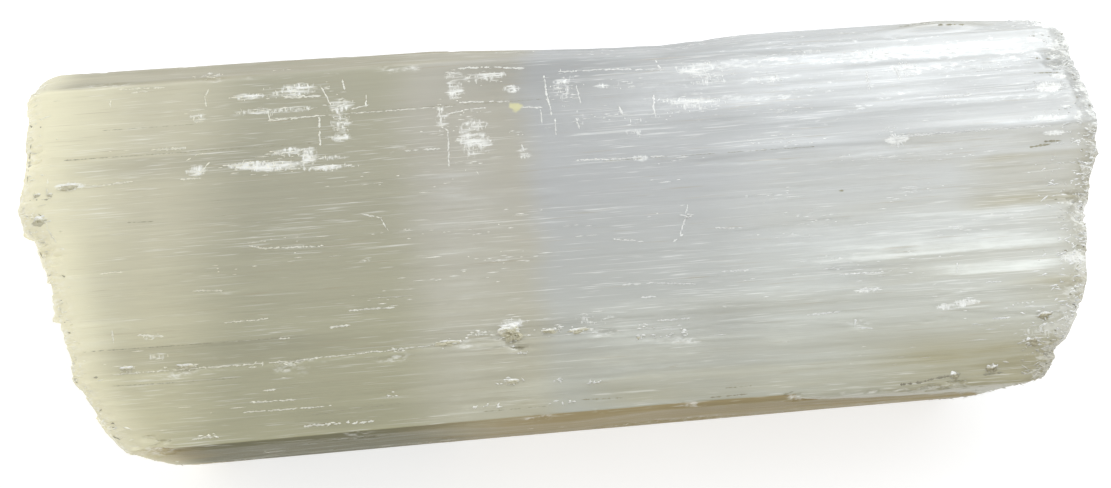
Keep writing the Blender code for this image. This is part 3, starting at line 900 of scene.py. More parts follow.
def scuff_flakes(skin, slivers, rng):
    """Torn fibres in the scuffs: most lie lengthwise, and some are dragged across."""
    for x, y, along, across, strength in SCUFFS:
        count = int(4.0 * along * across * FLAKES_PER_MM2 * strength ** 2)
        for _ in range(count):
            px = x + along * np.clip(rng.normal(0.0, 0.55), -1.25, 1.25)
            py = y + across * np.clip(rng.normal(0.0, 0.55), -1.25, 1.25)
            lengthwise = rng.random() < 0.72
            reach = rng.uniform(0.3, 1.5) if lengthwise else rng.uniform(0.2, 0.8)
            turn = rng.normal(0.0, 0.05) if lengthwise else math.pi / 2 + rng.normal(0.0, 0.25)
            lay(skin, slivers, px, py, reach, turn, rng.uniform(0.1, 0.26), rng)


def lay(skin, slivers, x, y, reach, turn, width, rng):
    """Lays one sliver on the widest face."""
    step = np.array([math.cos(turn), math.sin(turn)]) * reach
    start, normal = skin.below(x - step[0], y - step[1])
    end = skin.below(x + step[0], y + step[1])[0]
    if start is not None and end is not None and abs(start[2] - end[2]) < TALLEST_STEP:
        slivers.add(start, end, normal, width, rng.uniform(0.5, 1.6) * FLAKE_RISE,
                    rng.uniform(0.25, 0.75))


def scratches(skin, slivers, rng):
    """Each scratch is a run of overlapping torn slivers."""
    for bends, width in SCRATCHES:
        for (x0, y0), (x1, y1) in zip(bends, bends[1:]):
            span = math.hypot(x1 - x0, y1 - y0)
            turn = math.atan2(y1 - y0, x1 - x0)
            phase = rng.uniform(0.0, 9.0)
            for share in np.arange(0.0, 1.0, 0.32 / span):
                gap = math.sin(0.9 * span * share + phase) + math.sin(2.3 * span * share + phase)
                if rng.random() < 0.85 - 0.35 * gap:
                    lay(skin, slivers, x0 + (x1 - x0) * share + rng.normal(0.0, 0.07),
                        y0 + (y1 - y0) * share + rng.normal(0.0, 0.07), rng.uniform(0.4, 1.1),
                        turn + rng.normal(0.0, 0.06), width * rng.uniform(0.5, 1.1), rng)


def loose_flakes(skin, slivers, count, rng):
    """Short lifted fibres strewn all over, in loose groups."""
    while len(slivers.faces) < count * len(Slivers.FACES):
        x, turn = rng.triangular(*STREWN), rng.uniform(0.0, 2.0 * math.pi)
        for _ in range(rng.integers(2, 12)):
            reach = 0.35 + rng.exponential(0.85)
            px, pt = x + rng.normal(0.0, 4.0), turn + rng.normal(0.0, 0.03)
            start, normal = skin.round_at(px - reach, pt)
            end = skin.round_at(px + reach, pt)[0]
            if start is None or end is None or np.linalg.norm(end - start) > 2.6 * reach:
                continue
            if start[2] > 1.0 and end[2] > 1.0:
                slivers.add(start, end, normal, rng.uniform(0.1, 0.24), FLAKE_RISE,
                            rng.uniform(0.3, 0.7))


def lump(skin, bruise, rng):
    """Points of one crushed lump, ring by ring from its middle, how torn each is and its painted
    highlight.
    """
    x, y, along, across, height = bruise
    seed = rng.uniform(0.0, 50.0)
    lobes = rng.uniform(0.6, 1.25, BRUISE_LOBES)
    points, crushed = [], []
    for ring in range(BRUISE_RINGS + 1):
        share = ring / BRUISE_RINGS
        for spoke in range(BRUISE_SPOKES if ring else 1):
            turn = 2.0 * math.pi * spoke / BRUISE_SPOKES
            lobe = np.interp(spoke / BRUISE_SPOKES * BRUISE_LOBES, range(BRUISE_LOBES + 1),
                             [*lobes, lobes[0]])
            px = x + along * share * lobe * math.cos(turn)
            py = y + across * share * lobe * math.sin(turn)
            hit, normal = skin.below(px, py)
            if hit is None:
                hit, normal = points[-1], np.array(UP)
            rough = noise.fractal(Vector((px * 0.9, py * 1.7, seed)), 1.0, 2.0, 3)
            cell = noise.cell(Vector((px * 1.1, py * 2.2, seed)))
            swell = height * (1.0 - share ** 2) * (0.6 + 0.6 * rough + 0.3 * cell)
            points.append(hit + normal * (swell - 0.12 * share))
            # Whiter towards +Y, the side that faces the light: painted highlight
            crushed.append(0.5 + 0.5 * share * math.sin(turn))
    points.append(points[0] - (height + BRUISE_ROOT) * np.array(UP))
    crushed.append(0.0)
    return points, crushed


def lump_faces(first):
    """Faces of a lump whose points start at the number given, closed by a cone below."""
    bottom = first + 1 + BRUISE_RINGS * BRUISE_SPOKES
    row = [first + 1 + ring * BRUISE_SPOKES for ring in range(BRUISE_RINGS)]
    faces = []
    for spoke in range(BRUISE_SPOKES):
        after = (spoke + 1) % BRUISE_SPOKES
        faces.append((first, row[0] + spoke, row[0] + after))
        faces += [(inner + spoke, outer + spoke, outer + after, inner + after)
                  for inner, outer in zip(row, row[1:])]
        faces.append((bottom, row[-1] + after, row[-1] + spoke))
    return faces


def bruise_mesh(skin, rng):
    """Crushed lumps: each is a closed shell that swells out of the skin and dips in at its rim."""
    points, faces, crushed = [], [], []
    for bruise in BRUISES:
        if bruise[-1] >= SWOLLEN:
            faces += lump_faces(len(points))
            lump_points, lump_crushed = lump(skin, bruise, rng)
            points += lump_points
            crushed += lump_crushed
    mesh = mesh_of("bruises", np.array(points), faces)
    # These values paint a highlight on the +Y side of each lump
    point_values(mesh, "crushed", np.array(crushed))
    return mesh


def bruise_flakes(skin, slivers, rng):
    """Crushed fibres on every bruise, most of them lengthwise and some lifted."""
    for x, y, along, across, height in BRUISES:
        for _ in range(int(4.0 + 3.0 * along * across)):
            turn = rng.normal(0.0, 0.12) if rng.random() < 0.8 else rng.uniform(0.0, math.pi)
            px, py = x + along * rng.normal(0.0, 0.6), y + across * rng.normal(0.0, 0.5)
            hit, normal = skin.below(px, py)
            if hit is None:
                continue
            lean = np.array([math.cos(turn), math.sin(turn), 0.0]) * rng.uniform(0.2, 0.8)
            lift = normal * height * rng.uniform(0.0, 0.3)
            slivers.add(hit - lean, hit + lean + lift, normal, rng.uniform(0.15, 0.5),
                        rng.uniform(0.1, 0.3), rng.uniform(0.3, 0.7))


def torn_fibres(skin, loose_count):
    """All of the torn fibres, in one mesh."""
    slivers = Slivers()
    loose_flakes(skin, slivers, loose_count, np.random.default_rng(SEED + 60))
    scuff_flakes(skin, slivers, np.random.default_rng(SEED + 61))
    scratches(skin, slivers, np.random.default_rng(SEED + 62))
    bruise_flakes(skin, slivers, np.random.default_rng(SEED + 63))
    return slivers.mesh("torn_fibres")


def cracks(skin, rims, rng):
    """Stained hairlines along the fibres, some of them painted shade, and dark nicks round the ends."""
    slivers = Slivers()
    for bends, width in CRACKS_AND_SHADE_LINES:
        for (x0, y0), (x1, y1) in zip(bends, bends[1:]):
            span, turn = math.hypot(x1 - x0, y1 - y0), math.atan2(y1 - y0, x1 - x0)
            for share in np.arange(0.0, 1.0, 0.9 / span):
                if rng.random() < 0.8:
                    lay(skin, slivers, x0 + (x1 - x0) * share, y0 + (y1 - y0) * share,
                        rng.uniform(0.5, 1.3), turn + rng.normal(0.0, 0.03),
                        width * rng.uniform(0.4, 1.1), rng)
    for rim, inwards, count in zip(rims, (1.0, -1.0), STAIN_NICKS):
        for _ in range(count):
            back = inwards * (rng.exponential(1.5) + 0.8)
            here = rim[rng.integers(len(rim))] + np.array([back, 0.0, 0.0])
            hit, normal = skin.nearest(here)
            lean = np.array([1.0, rng.normal(0.0, 0.5), 0.0]) * rng.uniform(0.3, 0.9)
            if here[2] > 3.0:
                slivers.add(hit - lean, hit + lean, normal, rng.uniform(0.2, 0.6), FLAKE_RISE)
    return slivers.mesh("cracks_and_shade_lines")


def end_crumbs(skin, rims, counts, rng):
    """Splinters and crumbs of broken fibre round the rim of each end."""
    slivers = Slivers()
    for rim, inwards, count, depth in zip(rims, (1.0, -1.0), counts, CRUMB_BAND):
        for _ in range(count):
            here = rim[rng.integers(len(rim))]
            if here[2] < 2.0:
                continue
            reach = 0.25 + min(rng.exponential(0.35), 1.0)
            back = inwards * (rng.exponential(depth) + reach)
            hit, normal = skin.nearest(here + np.array([back, rng.normal(0.0, 0.3), 0.0]))
            lean = np.array([1.0, rng.normal(0.0, 0.4), 0.0]) * reach
            slivers.add(hit - lean, hit + lean, normal, rng.uniform(0.15, 0.5),
                        rng.uniform(0.05, 0.25), rng.uniform(0.3, 0.7))
    return slivers.mesh("end_crumbs")


# ---- Properties --------------------------------------------------------------------------


def colour_setting(name, description, colour):
    """A colour that the user can change."""
    return bpy.props.FloatVectorProperty(name=name, description=description, subtype="COLOR",
                                         size=3, min=0.0, max=1.0, default=colour)


def share_setting(name, description, value):
    """A number from 0 to 1 that the user can change."""
    return bpy.props.FloatProperty(name=name, description=description, subtype="FACTOR",
                                   min=0.0, max=1.0, default=value)


class SeleniteLogSettings(bpy.types.PropertyGroup):
    """Marks, colours and finish of the log."""

    loose_flakes: bpy.props.IntProperty(
        name="Loose flakes", description="How many torn fibres are strewn over the whole skin",
        min=1, default=760)
    crumbs: bpy.props.IntVectorProperty(
        name="Crumbs", description="How many crumbs lie at the -X and at the +X end",
        size=2, min=1, default=(420, 1500))
    # The -X end's colour below is partly the stone's honey tint and partly a painted glow where light
    # gathers
    honey_glow: colour_setting("Honey", "Colour of the -X end, where light gathers", (0.74, 0.70, 0.50))
    straw: colour_setting("Straw", "Colour behind the -X end", (0.54, 0.51, 0.375))
    olive: colour_setting("Olive", "Colour of the stretch after that", (0.37, 0.355, 0.26))
    taupe: colour_setting("Taupe", "Colour just before the middle", (0.425, 0.405, 0.337))
    cool: colour_setting("Cool", "Colour just after the middle", (0.42, 0.425, 0.415))
    pearl: colour_setting("Pearl", "Colour of the +X half", (0.478, 0.486, 0.473))
    milk: colour_setting("Milk", "Colour of the +X end", (0.535, 0.54, 0.517))
    tan: colour_setting("Tan", "Colour of the facets low on the front", (0.365, 0.332, 0.225))
    # Slate and umber are the front flank's painted shade and warm painted reflection; umber also
    # colours dark threads
    slate: colour_setting("Slate", "Colour of the front flank towards -X", (0.19, 0.18, 0.13))
    umber: colour_setting("Umber", "Colour of the rest of the front flank", (0.335, 0.272, 0.168))
    # The colour below is the painted sheen of fibres that catch the light
    bright: colour_setting("Bright", "Colour of fibres that catch the light", (0.82, 0.84, 0.825))
    lichen: colour_setting("Lichen", "Colour of the one yellow speck", (0.66, 0.63, 0.33))
    soil: colour_setting("Soil", "Colour of cracks and nicks", (0.18, 0.163, 0.12))
    chalk: colour_setting("Chalk", "Colour of bruised and broken fibres", (0.92, 0.92, 0.875))
    roughness: share_setting("Roughness", "Roughness of the sound skin", 0.33)
    silkiness: share_setting("Silkiness", "How far a highlight is drawn out across the fibres", 0.7)
    milkiness: share_setting("Milkiness", "Share of the light that scatters below the skin", 0.32)
    gloss: share_setting("Gloss", "Gloss of the sound skin", 0.8)
    # The front flank's own copy of the skin has almost no gloss: painted shade
    flank_gloss: share_setting("Flank gloss", "Gloss of the weathered front flank", 0.03)
    glow_depth: bpy.props.FloatProperty(
        name="Glow depth", description="How far light travels inside the log",
        subtype="DISTANCE", unit="LENGTH", min=0.0, max=0.1, default=0.008)


class SeleniteStageSettings(bpy.types.PropertyGroup):
    """Floor, light and view."""

    floor_radius: bpy.props.FloatProperty(
        name="Floor radius", description="Radius of the round floor",
        subtype="DISTANCE", unit="LENGTH", min=0.5, default=6.0)
    floor_tint: colour_setting("Floor", "Colour of the floor", (0.55, 0.55, 0.55))
    floor_glow: bpy.props.FloatProperty(
        name="Floor glow", description="Light that comes up through the floor",
        min=0.0, default=0.62)
    room_light: bpy.props.FloatProperty(
        name="Room light", description="Strength of the even light from all sides",
        min=0.0, default=0.72)
    azimuth: bpy.props.FloatProperty(
        name="Azimuth", description="Turn of the camera round the log, from straight in front",
        subtype="ANGLE", unit="ROTATION", default=math.radians(-4.7))
    elevation: bpy.props.FloatProperty(
        name="Elevation", description="Height of the camera above the horizon",
        subtype="ANGLE", unit="ROTATION", default=math.radians(70.0))
    distance: bpy.props.FloatProperty(
        name="Distance", description="Distance of the camera from the middle of the log",
        subtype="DISTANCE", unit="LENGTH", min=0.2, default=0.75)
    lens: bpy.props.FloatProperty(
        name="Lens", description="Focal length", unit="CAMERA", min=10.0, default=103.9)
    aim: bpy.props.FloatVectorProperty(
        name="Aim", description="Point that the camera looks at",
        subtype="XYZ", unit="LENGTH", size=3, default=(-0.0021, -0.0017, 0.030))


# ---- Materials ---------------------------------------------------------------------------

GYPSUM_IOR = 1.52
RIM_GLOW = 1.12  # how much lighter than honey the painted glow at the rim of the -X end is
BARE_X = -0.018  # where the skin is rubbed bare of white threads, in metres


class NodeSheet:
    """Short calls that add and link a material's nodes."""

    def __init__(self, name):
        self.material = bpy.data.materials.new(name)
        self.material.use_nodes = True
        self.tree = self.material.node_tree
        self.shader = self.tree.nodes["Principled BSDF"]
        self.place = self.add("ShaderNodeTexCoord").outputs["Object"]

    def add(self, kind, inputs=(), **settings):
        """A new node with these settings, each input fed by a value or another node's output."""
        node = self.tree.nodes.new(kind)
        for key, value in settings.items():
            setattr(node, key, value)
        for key, value in dict(inputs).items():
            self.feed(node.inputs[key], value)
        return node

    def feed(self, socket, value):
        """Links an output to the socket, or sets a value on it."""
        if isinstance(value, bpy.types.NodeSocket):
            self.tree.links.new(value, socket)
        else:
            socket.default_value = value

    def math(self, operation, a, b=0.0, clamp=False):
        node = self.add("ShaderNodeMath", {0: a, 1: b}, operation=operation, use_clamp=clamp)
        return node.outputs[0]

    def times(self, colour, factor):
        """The colour times a number, or times another colour."""
        node = self.add("ShaderNodeVectorMath", {0: colour, 1: factor}, operation="MULTIPLY")
        return node.outputs[0]

    def spread(self, value, low, high, to_low=0.0, to_high=1.0):
        """The value's range from low to high, laid out from to_low to to_high and held there."""
        node = self.add("ShaderNodeMapRange", {"Value": value, "From Min": low, "From Max": high,
                                               "To Min": to_low, "To Max": to_high})
        return node.outputs[0]

    def stretched(self, along, across):
        """The place on the log, with so many features per metre along and across its fibres."""
        return self.add("ShaderNodeMapping", {"Vector": self.place,
                                              "Scale": (along, across, across)}).outputs[0]

    def grain(self, along, across, detail=2.0, roughness=0.55):
        """Noise from about 0.3 to 0.7, drawn out along the fibres."""
        node = self.add("ShaderNodeTexNoise", {"Vector": self.stretched(along, across), "Scale": 1.0,
                                               "Detail": detail, "Roughness": roughness})
        return node.outputs["Fac"]

    def mix(self, share, a, b):
        """Colour a, or as much of colour b as the share says."""
        node = self.add("ShaderNodeMix", data_type="RGBA")
        for key, value in (("Factor_Float", share), ("A_Color", a), ("B_Color", b)):
            if not isinstance(value, (bpy.types.NodeSocket, float)):
                value = (*value[:3], 1.0)
            self.feed(next(s for s in node.inputs if s.identifier == key), value)
        return next(s for s in node.outputs if s.identifier == "Result_Color")

    def ramp(self, value, stops):
        """Colours that follow each other as the value rises from 0 to 1."""
        node = self.add("ShaderNodeValToRGB", {"Fac": value})
        node.color_ramp.interpolation = "EASE"
        elements = node.color_ramp.elements
        while len(elements) < len(stops):
            elements.new(0.5)
        for element, (place, colour) in zip(elements, stops):
            element.position = place
            element.color = (*colour[:3], 1.0)
        return node.outputs["Color"]

    def attribute(self, name):
        """A number that the mesh gives for each of its points."""
        return self.add("ShaderNodeAttribute", attribute_name=name).outputs["Fac"]


def scatter(shader, share, reach, depth):
    """Gypsum's refraction, and light that scatters below its skin."""
    shader.inputs["IOR"].default_value = GYPSUM_IOR
    shader.inputs["Subsurface Weight"].default_value = share
    shader.inputs["Subsurface Radius"].default_value = reach
    shader.inputs["Subsurface Scale"].default_value = depth


def body_tints(sheet, settings, x, y, z):
    """Tints along the fibres, stains, the flank and the speck, with painted glow, reflection and shade.
    """
    drift = sheet.math("SUBTRACT", sheet.grain(9.0, 60.0), 0.5)
    wander = sheet.math("MULTIPLY", drift, sheet.spread(z, 0.042, 0.030, 0.012, 0.06))
    slant = sheet.math("MULTIPLY", sheet.math("MULTIPLY", y, -0.15), sheet.spread(x, -0.03, -0.08))
    along = sheet.math("ADD", sheet.math("ADD", x, wander), slant)
    along = sheet.spread(along, -LENGTH / 2 * MM, LENGTH / 2 * MM)
    # Partly painted light: the -X end's colour is partly a painted glow, and the cool tones from the
    # middle to +X partly a painted reflection of cool light, over the stone's own tints
    body = sheet.ramp(along, (
        (0.02, settings.honey_glow), (0.12, settings.straw), (0.22, settings.olive),
        (0.33, settings.olive), (0.39, settings.taupe), (0.455, settings.taupe),
        (0.49, settings.cool), (0.62, settings.cool), (0.70, settings.pearl),
        (0.95, settings.milk)))

    mottle = sheet.grain(14.0, 150.0, 4.0, 0.6)
    # Tan stretches: the stone's own stains, and painted shade where facets turn from the light
    stain_and_shade = sheet.math("MULTIPLY", sheet.attribute("stain_and_shade"),
                         sheet.spread(mottle, 0.4, 0.6, 0.6, 1.3))
    stain_and_shade = sheet.math("ADD", stain_and_shade, sheet.math("MULTIPLY", drift, 0.24), clamp=True)
    body = sheet.mix(stain_and_shade, body, settings.tan)

    # The front flank: painted shade with a warm painted reflection, in slate and umber, mottled with
    # taupe
    flank = sheet.ramp(along, (
        (0.0, settings.straw), (0.14, settings.umber), (0.20, settings.slate),
        (0.31, settings.slate), (0.44, settings.umber)))
    flank = sheet.mix(sheet.spread(mottle, 0.5, 0.64, 0.0, 0.32), flank, settings.taupe)
    shadowed = sheet.math("ADD", sheet.attribute("flank"), sheet.math("SUBTRACT", mottle, 0.5))
    body = sheet.mix(sheet.spread(shadowed, 0.3, 0.7), body, flank)
    # Painted shade: darker stretches where facets turn from the light, below ledges and along the lip
    body = sheet.times(body, sheet.spread(sheet.attribute("painted_shade"), 0.0, 1.0, 1.0, 0.74))

    lichen = sheet.add("ShaderNodeVectorMath", {0: sheet.place, 1: LICHEN_PLACE},
                       operation="DISTANCE")
    lichen = sheet.math("ADD", sheet.spread(lichen.outputs["Value"], 0.0024, 0.0002),
                        sheet.grain(700.0, 500.0, 1.0))
    return sheet.mix(sheet.spread(lichen, 0.85, 1.15, 0.0, 0.8), body, settings.lichen)


def fibre_streaks(sheet, x, y):
    """Unevenness from fibre to fibre about 0.5, calmer towards the back and towards +X."""
    wide, fine = sheet.grain(12.0, 300.0), sheet.grain(40.0, 1500.0, 3.0, 0.6)
    hair = sheet.grain(80.0, 4200.0, 2.0, 0.6)
    streaks = sheet.math("ADD", sheet.math("MULTIPLY", wide, 0.15),
                         sheet.math("MULTIPLY", fine, 0.45))
    streaks = sheet.math("ADD", streaks, sheet.math("MULTIPLY", hair, 0.4))
    calm = sheet.math("MULTIPLY", sheet.spread(y, 0.010, 0.022, 1.0, 0.65),
                      sheet.spread(x, -0.055, -0.020, 1.0, 0.62))
    streaks = sheet.math("MULTIPLY", sheet.math("SUBTRACT", streaks, 0.5), calm)
    return sheet.math("ADD", streaks, 0.5)


def with_painted_sheen_and_frost(sheet, settings, body, x, y):
    """Painted sheen where fibres catch the light, and at +X frosty patches of them that are rubbed
    white.
    """
    painted_sheen = sheet.attribute("painted_sheen")
    sheen = sheet.math("ADD", sheet.grain(30.0, 900.0, 3.0, 0.6), sheet.grain(70.0, 300.0, 5.0, 0.7))
    sheen = sheet.math("ADD", sheet.math("MULTIPLY", painted_sheen, 0.35), sheen)
    ragged = sheet.math("SUBTRACT", sheet.grain(140.0, 420.0, 5.0, 0.7), 0.5)
    ragged = sheet.math("MULTIPLY", ragged, sheet.spread(y, 0.015, 0.025, 0.0, 1.8))
    sheen = sheet.math("ADD", sheen, ragged)
    sheen = sheet.math("MULTIPLY", painted_sheen, sheet.spread(sheen, 1.04, 1.45, 0.2, 0.95))
    # Painted sheen: the fibres lighter where they would catch the light
    body = sheet.mix(sheen, body, settings.bright)

    frost = sheet.math("ADD", sheet.grain(110.0, 420.0, 6.0, 0.75),
                       sheet.grain(500.0, 1300.0, 3.0, 0.6))
    frost = sheet.math("ADD", frost, sheet.math("MULTIPLY", painted_sheen, 0.3))
    frost = sheet.math("MULTIPLY", sheet.spread(frost, 1.16, 1.26, 0.0, 0.46),
                       sheet.spread(x, 0.015, 0.050))
    frost = sheet.math("MULTIPLY", frost, sheet.spread(y, 0.012, 0.020))
    return sheet.mix(frost, body, settings.chalk)


def with_threads(sheet, settings, body, x):
    """Single white threads in loose groups, few of them near BARE_X, and single dark ones."""
    gathered = sheet.spread(sheet.grain(22.0, 90.0), 0.35, 0.65, -0.06, 0.06)
    bare = sheet.math("ABSOLUTE", sheet.math("SUBTRACT", x, BARE_X))
    gathered = sheet.math("ADD", gathered, sheet.spread(bare, 0.012, 0.030, -0.035, 0.0))
    for length, reach in ((110.0, 0.32), (35.0, 0.25)):
        threads = sheet.math("ADD", sheet.grain(length, 3000.0, 1.0), gathered)
        body = sheet.mix(sheet.spread(threads, 0.64, 0.76, 0.0, reach), body, settings.chalk)
    dark_threads = sheet.spread(sheet.grain(60.0, 2700.0, 1.0), 0.33, 0.25, 0.0, 0.35)
    return sheet.mix(dark_threads, body, settings.umber)


def with_rims(sheet, settings, body, x, y):
    """The rims of the ends: a painted glow at -X, tan at +X."""
    rim = sheet.attribute("rim")
    # A painted glow at the rim of the -X end
    glow = sheet.math("MULTIPLY", sheet.math("MULTIPLY", rim, sheet.spread(x, 0.0, -0.02)), 0.75)
    body = sheet.mix(glow, body, [min(1.0, RIM_GLOW * channel) for channel in settings.honey_glow])
    right_rim = sheet.math("MULTIPLY", sheet.spread(rim, 0.45, 1.0), sheet.spread(x, 0.0, 0.02))
    right_rim = sheet.math("MULTIPLY", right_rim, sheet.spread(y, 0.008, 0.014, 1.0, 0.2))
    return sheet.mix(sheet.math("MULTIPLY", right_rim, 0.35), body, settings.tan)


def chalkiness(sheet, x, y):
    """How far the skin is chalk: crumbling rims, chips and breaks, and powdery scuffs."""
    grains = sheet.math("ADD", sheet.grain(330.0, 700.0, 3.0, 0.6), sheet.grain(60.0, 90.0))
    near_rim = sheet.math("MULTIPLY", sheet.attribute("rim"), 0.40)
    crumbling = sheet.spread(sheet.math("ADD", grains, near_rim), 1.36, 1.44)
    crumbling = sheet.math("MULTIPLY", crumbling, sheet.spread(x, 0.0, 0.02, 0.12, 0.8))
    crumbling = sheet.math("MULTIPLY", crumbling, sheet.spread(y, -0.030, 0.012, 0.45, 1.0))

    broken = sheet.math("MULTIPLY", sheet.attribute("worn"),
                        sheet.spread(sheet.grain(450.0, 1200.0, 3.0, 0.65), 0.48, 0.64, 0.0, 0.65))

    weave = sheet.math("MAXIMUM", sheet.grain(170.0, 1900.0, 2.0, 0.6),
                       sheet.grain(1400.0, 520.0, 2.0, 0.6))
    patchy = sheet.math("MULTIPLY", sheet.grain(110.0, 300.0, 4.0, 0.65), 0.7)
    weave = sheet.math("ADD", weave, patchy)
    scuffed = sheet.math("ADD", sheet.math("MULTIPLY", sheet.attribute("scuff"), 0.8), weave)
    scuffed = sheet.spread(scuffed, 1.34, 1.58)
    return sheet.math("MAXIMUM", sheet.math("MAXIMUM", broken, crumbling), scuffed, clamp=True)


def satin_spar(settings, name, gloss):
    """The log's skin and its broken ends."""
    sheet = NodeSheet(name)
    shader = sheet.shader
    x, y, z = sheet.add("ShaderNodeSeparateXYZ", {"Vector": sheet.place}).outputs

    body = body_tints(sheet, settings, x, y, z)
    streaks = fibre_streaks(sheet, x, y)
    body = sheet.times(body, sheet.spread(streaks, 0.3, 0.7, 0.93, 1.07))
    body = with_painted_sheen_and_frost(sheet, settings, body, x, y)
    dimmer = sheet.spread(y, -0.03, 0.02, 0.985, 0.94)
    less_blue = sheet.math("MULTIPLY", dimmer, sheet.spread(y, 0.005, -0.045, 1.0, 0.88))
    warmth = sheet.add("ShaderNodeCombineXYZ", {0: dimmer, 1: dimmer, 2: less_blue})
    body = sheet.times(body, warmth.outputs[0])
    body = with_threads(sheet, settings, body, x)
    body = with_rims(sheet, settings, body, x, y)
    chalk = chalkiness(sheet, x, y)
    body = sheet.mix(sheet.math("MULTIPLY", chalk, 0.8), body, settings.chalk)
    sheet.feed(shader.inputs["Base Color"], body)

    rough = sheet.spread(streaks, 0.3, 0.7, settings.roughness - 0.08, settings.roughness + 0.10)
    rough = sheet.math("ADD", rough, sheet.math("MULTIPLY", chalk, 0.35), clamp=True)
    sheet.feed(shader.inputs["Roughness"], rough)
    bump = sheet.add("ShaderNodeBump", {"Height": streaks, "Strength": 1.0, "Distance": 0.0001})
    sheet.feed(shader.inputs["Normal"], bump.outputs[0])
    tangent = sheet.add("ShaderNodeTangent", direction_type="RADIAL", axis="X")
    sheet.feed(shader.inputs["Tangent"], tangent.outputs[0])
    shader.inputs["Anisotropic"].default_value = settings.silkiness
    shader.inputs["Specular IOR Level"].default_value = gloss
    scatter(shader, settings.milkiness, (1.0, 0.92, 0.75), settings.glow_depth)
    shader.subsurface_method = "BURLEY"  # quick, and close enough for so solid a body
    return sheet.material


def dirt_and_shade_gypsum(settings):
    """Cracks and nicks, dark with the dirt in them, and dark lines of painted shade."""
    sheet = NodeSheet("dirt_and_shade_gypsum")
    x = sheet.add("ShaderNodeSeparateXYZ", {"Vector": sheet.place}).outputs[0]
    warm = [0.5 * (soil + straw) for soil, straw in zip(settings.soil, settings.straw)]
    colour = sheet.mix(sheet.spread(x, -0.02, 0.05), warm, settings.soil)
    colour = sheet.mix(sheet.spread(sheet.grain(90.0, 300.0), 0.3, 0.7), colour, settings.olive)
    sheet.feed(sheet.shader.inputs["Base Color"], colour)
    sheet.feed(sheet.shader.inputs["Roughness"], sheet.spread(sheet.grain(300.0, 900.0), 0.3, 0.7,
                                                              0.6, 0.9))
    sheet.shader.inputs["Specular IOR Level"].default_value = 0.2
    return sheet.material


def chalky_gypsum(settings):
    """Torn fibres and crumbs: chalk, with the colour of the skin where they are thin."""
    sheet = NodeSheet("chalky_gypsum")
    shader = sheet.shader
    x, y = sheet.add("ShaderNodeSeparateXYZ", {"Vector": sheet.place}).outputs[:2]
    warm = [chalk * (0.5 + 0.65 * honey_glow) for chalk, honey_glow in zip(settings.chalk, settings.honey_glow)]
    colour = sheet.mix(sheet.spread(x, -0.09, 0.02), warm, settings.chalk)
    thin = sheet.spread(sheet.grain(130.0, 420.0, 4.0, 0.6), 0.36, 0.52, 0.6, 0.0)
    sound = sheet.mix(sheet.spread(x, -0.10, 0.0), settings.honey_glow, settings.milk)
    colour = sheet.mix(thin, colour, sound)
    low = sheet.math("MULTIPLY", sheet.spread(y, -0.034, -0.043, 0.0, 0.7), sheet.spread(x, 0.0, 0.05))
    colour = sheet.mix(low, colour, settings.tan)
    speckle = sheet.spread(sheet.grain(700.0, 1600.0, 3.0, 0.6), 0.3, 0.7, 0.86, 1.1)
    colour = sheet.times(colour, speckle)
    sheet.feed(shader.inputs["Base Color"], colour)
    sheet.feed(shader.inputs["Roughness"], sheet.spread(sheet.grain(300.0, 900.0), 0.3, 0.7, 0.5, 0.75))
    bump = sheet.add("ShaderNodeBump", {"Height": sheet.grain(900.0, 2500.0, 3.0), "Strength": 0.6,
                                        "Distance": 0.0002})
    sheet.feed(shader.inputs["Normal"], bump.outputs[0])
    scatter(shader, 0.3, (1.0, 1.0, 0.9), 0.001)
    return sheet.material


def crushed_spar(settings):
    """Bruised lumps: chalk where torn, with a painted highlight at the back; clearer towards the front.
    """
    sheet = NodeSheet("crushed_spar")
    shader = sheet.shader
    x = sheet.add("ShaderNodeSeparateXYZ", {"Vector": sheet.place}).outputs[0]
    sound = sheet.mix(sheet.spread(x, 0.0, 0.07), settings.straw, settings.tan)
    # Chalk rises towards +Y as a painted highlight, and with the torn grain
    torn = sheet.math("ADD", sheet.attribute("crushed"), sheet.grain(350.0, 800.0, 4.0, 0.65))
    colour = sheet.mix(sheet.spread(torn, 1.06, 1.34, 0.0, 0.9), sound, settings.chalk)
    sheet.feed(shader.inputs["Base Color"], colour)
    sheet.feed(shader.inputs["Roughness"], sheet.spread(torn, 0.9, 1.3, 0.35, 0.7))
    bump = sheet.add("ShaderNodeBump", {"Height": sheet.grain(900.0, 2000.0, 3.0), "Strength": 0.6,
                                        "Distance": 0.0002})
    sheet.feed(shader.inputs["Normal"], bump.outputs[0])
    scatter(shader, 0.4, (1.0, 1.0, 0.9), 0.0015)
    return sheet.material


def studio_floor(settings):
    """Pale, all but even, and lit a little from below."""
    sheet = NodeSheet("studio_floor")
    dim = [0.98 * channel for channel in settings.floor_tint]
    colour = sheet.mix(sheet.grain(3.0, 3.0), dim, settings.floor_tint)
    sheet.feed(sheet.shader.inputs["Base Color"], colour)
    sheet.shader.inputs["Roughness"].default_value = 0.9
    sheet.shader.inputs["Specular IOR Level"].default_value = 0.1
    sheet.shader.inputs["Emission Color"].default_value = (1.0, 1.0, 1.0, 1.0)
    sheet.shader.inputs["Emission Strength"].default_value = settings.floor_glow
    sheet.material.cycles.emission_sampling = "NONE"  # too even a glow to aim rays at
    return sheet.material


# ---- Operators ---------------------------------------------------------------------------

SHARP_ANGLE = math.radians(32.0)
FLOOR_SIDES = 96
ROOM_COLOUR = (0.97, 0.98, 1.0, 1.0)
CLIP_FROM, CLIP_TO = 0.01, 50.0

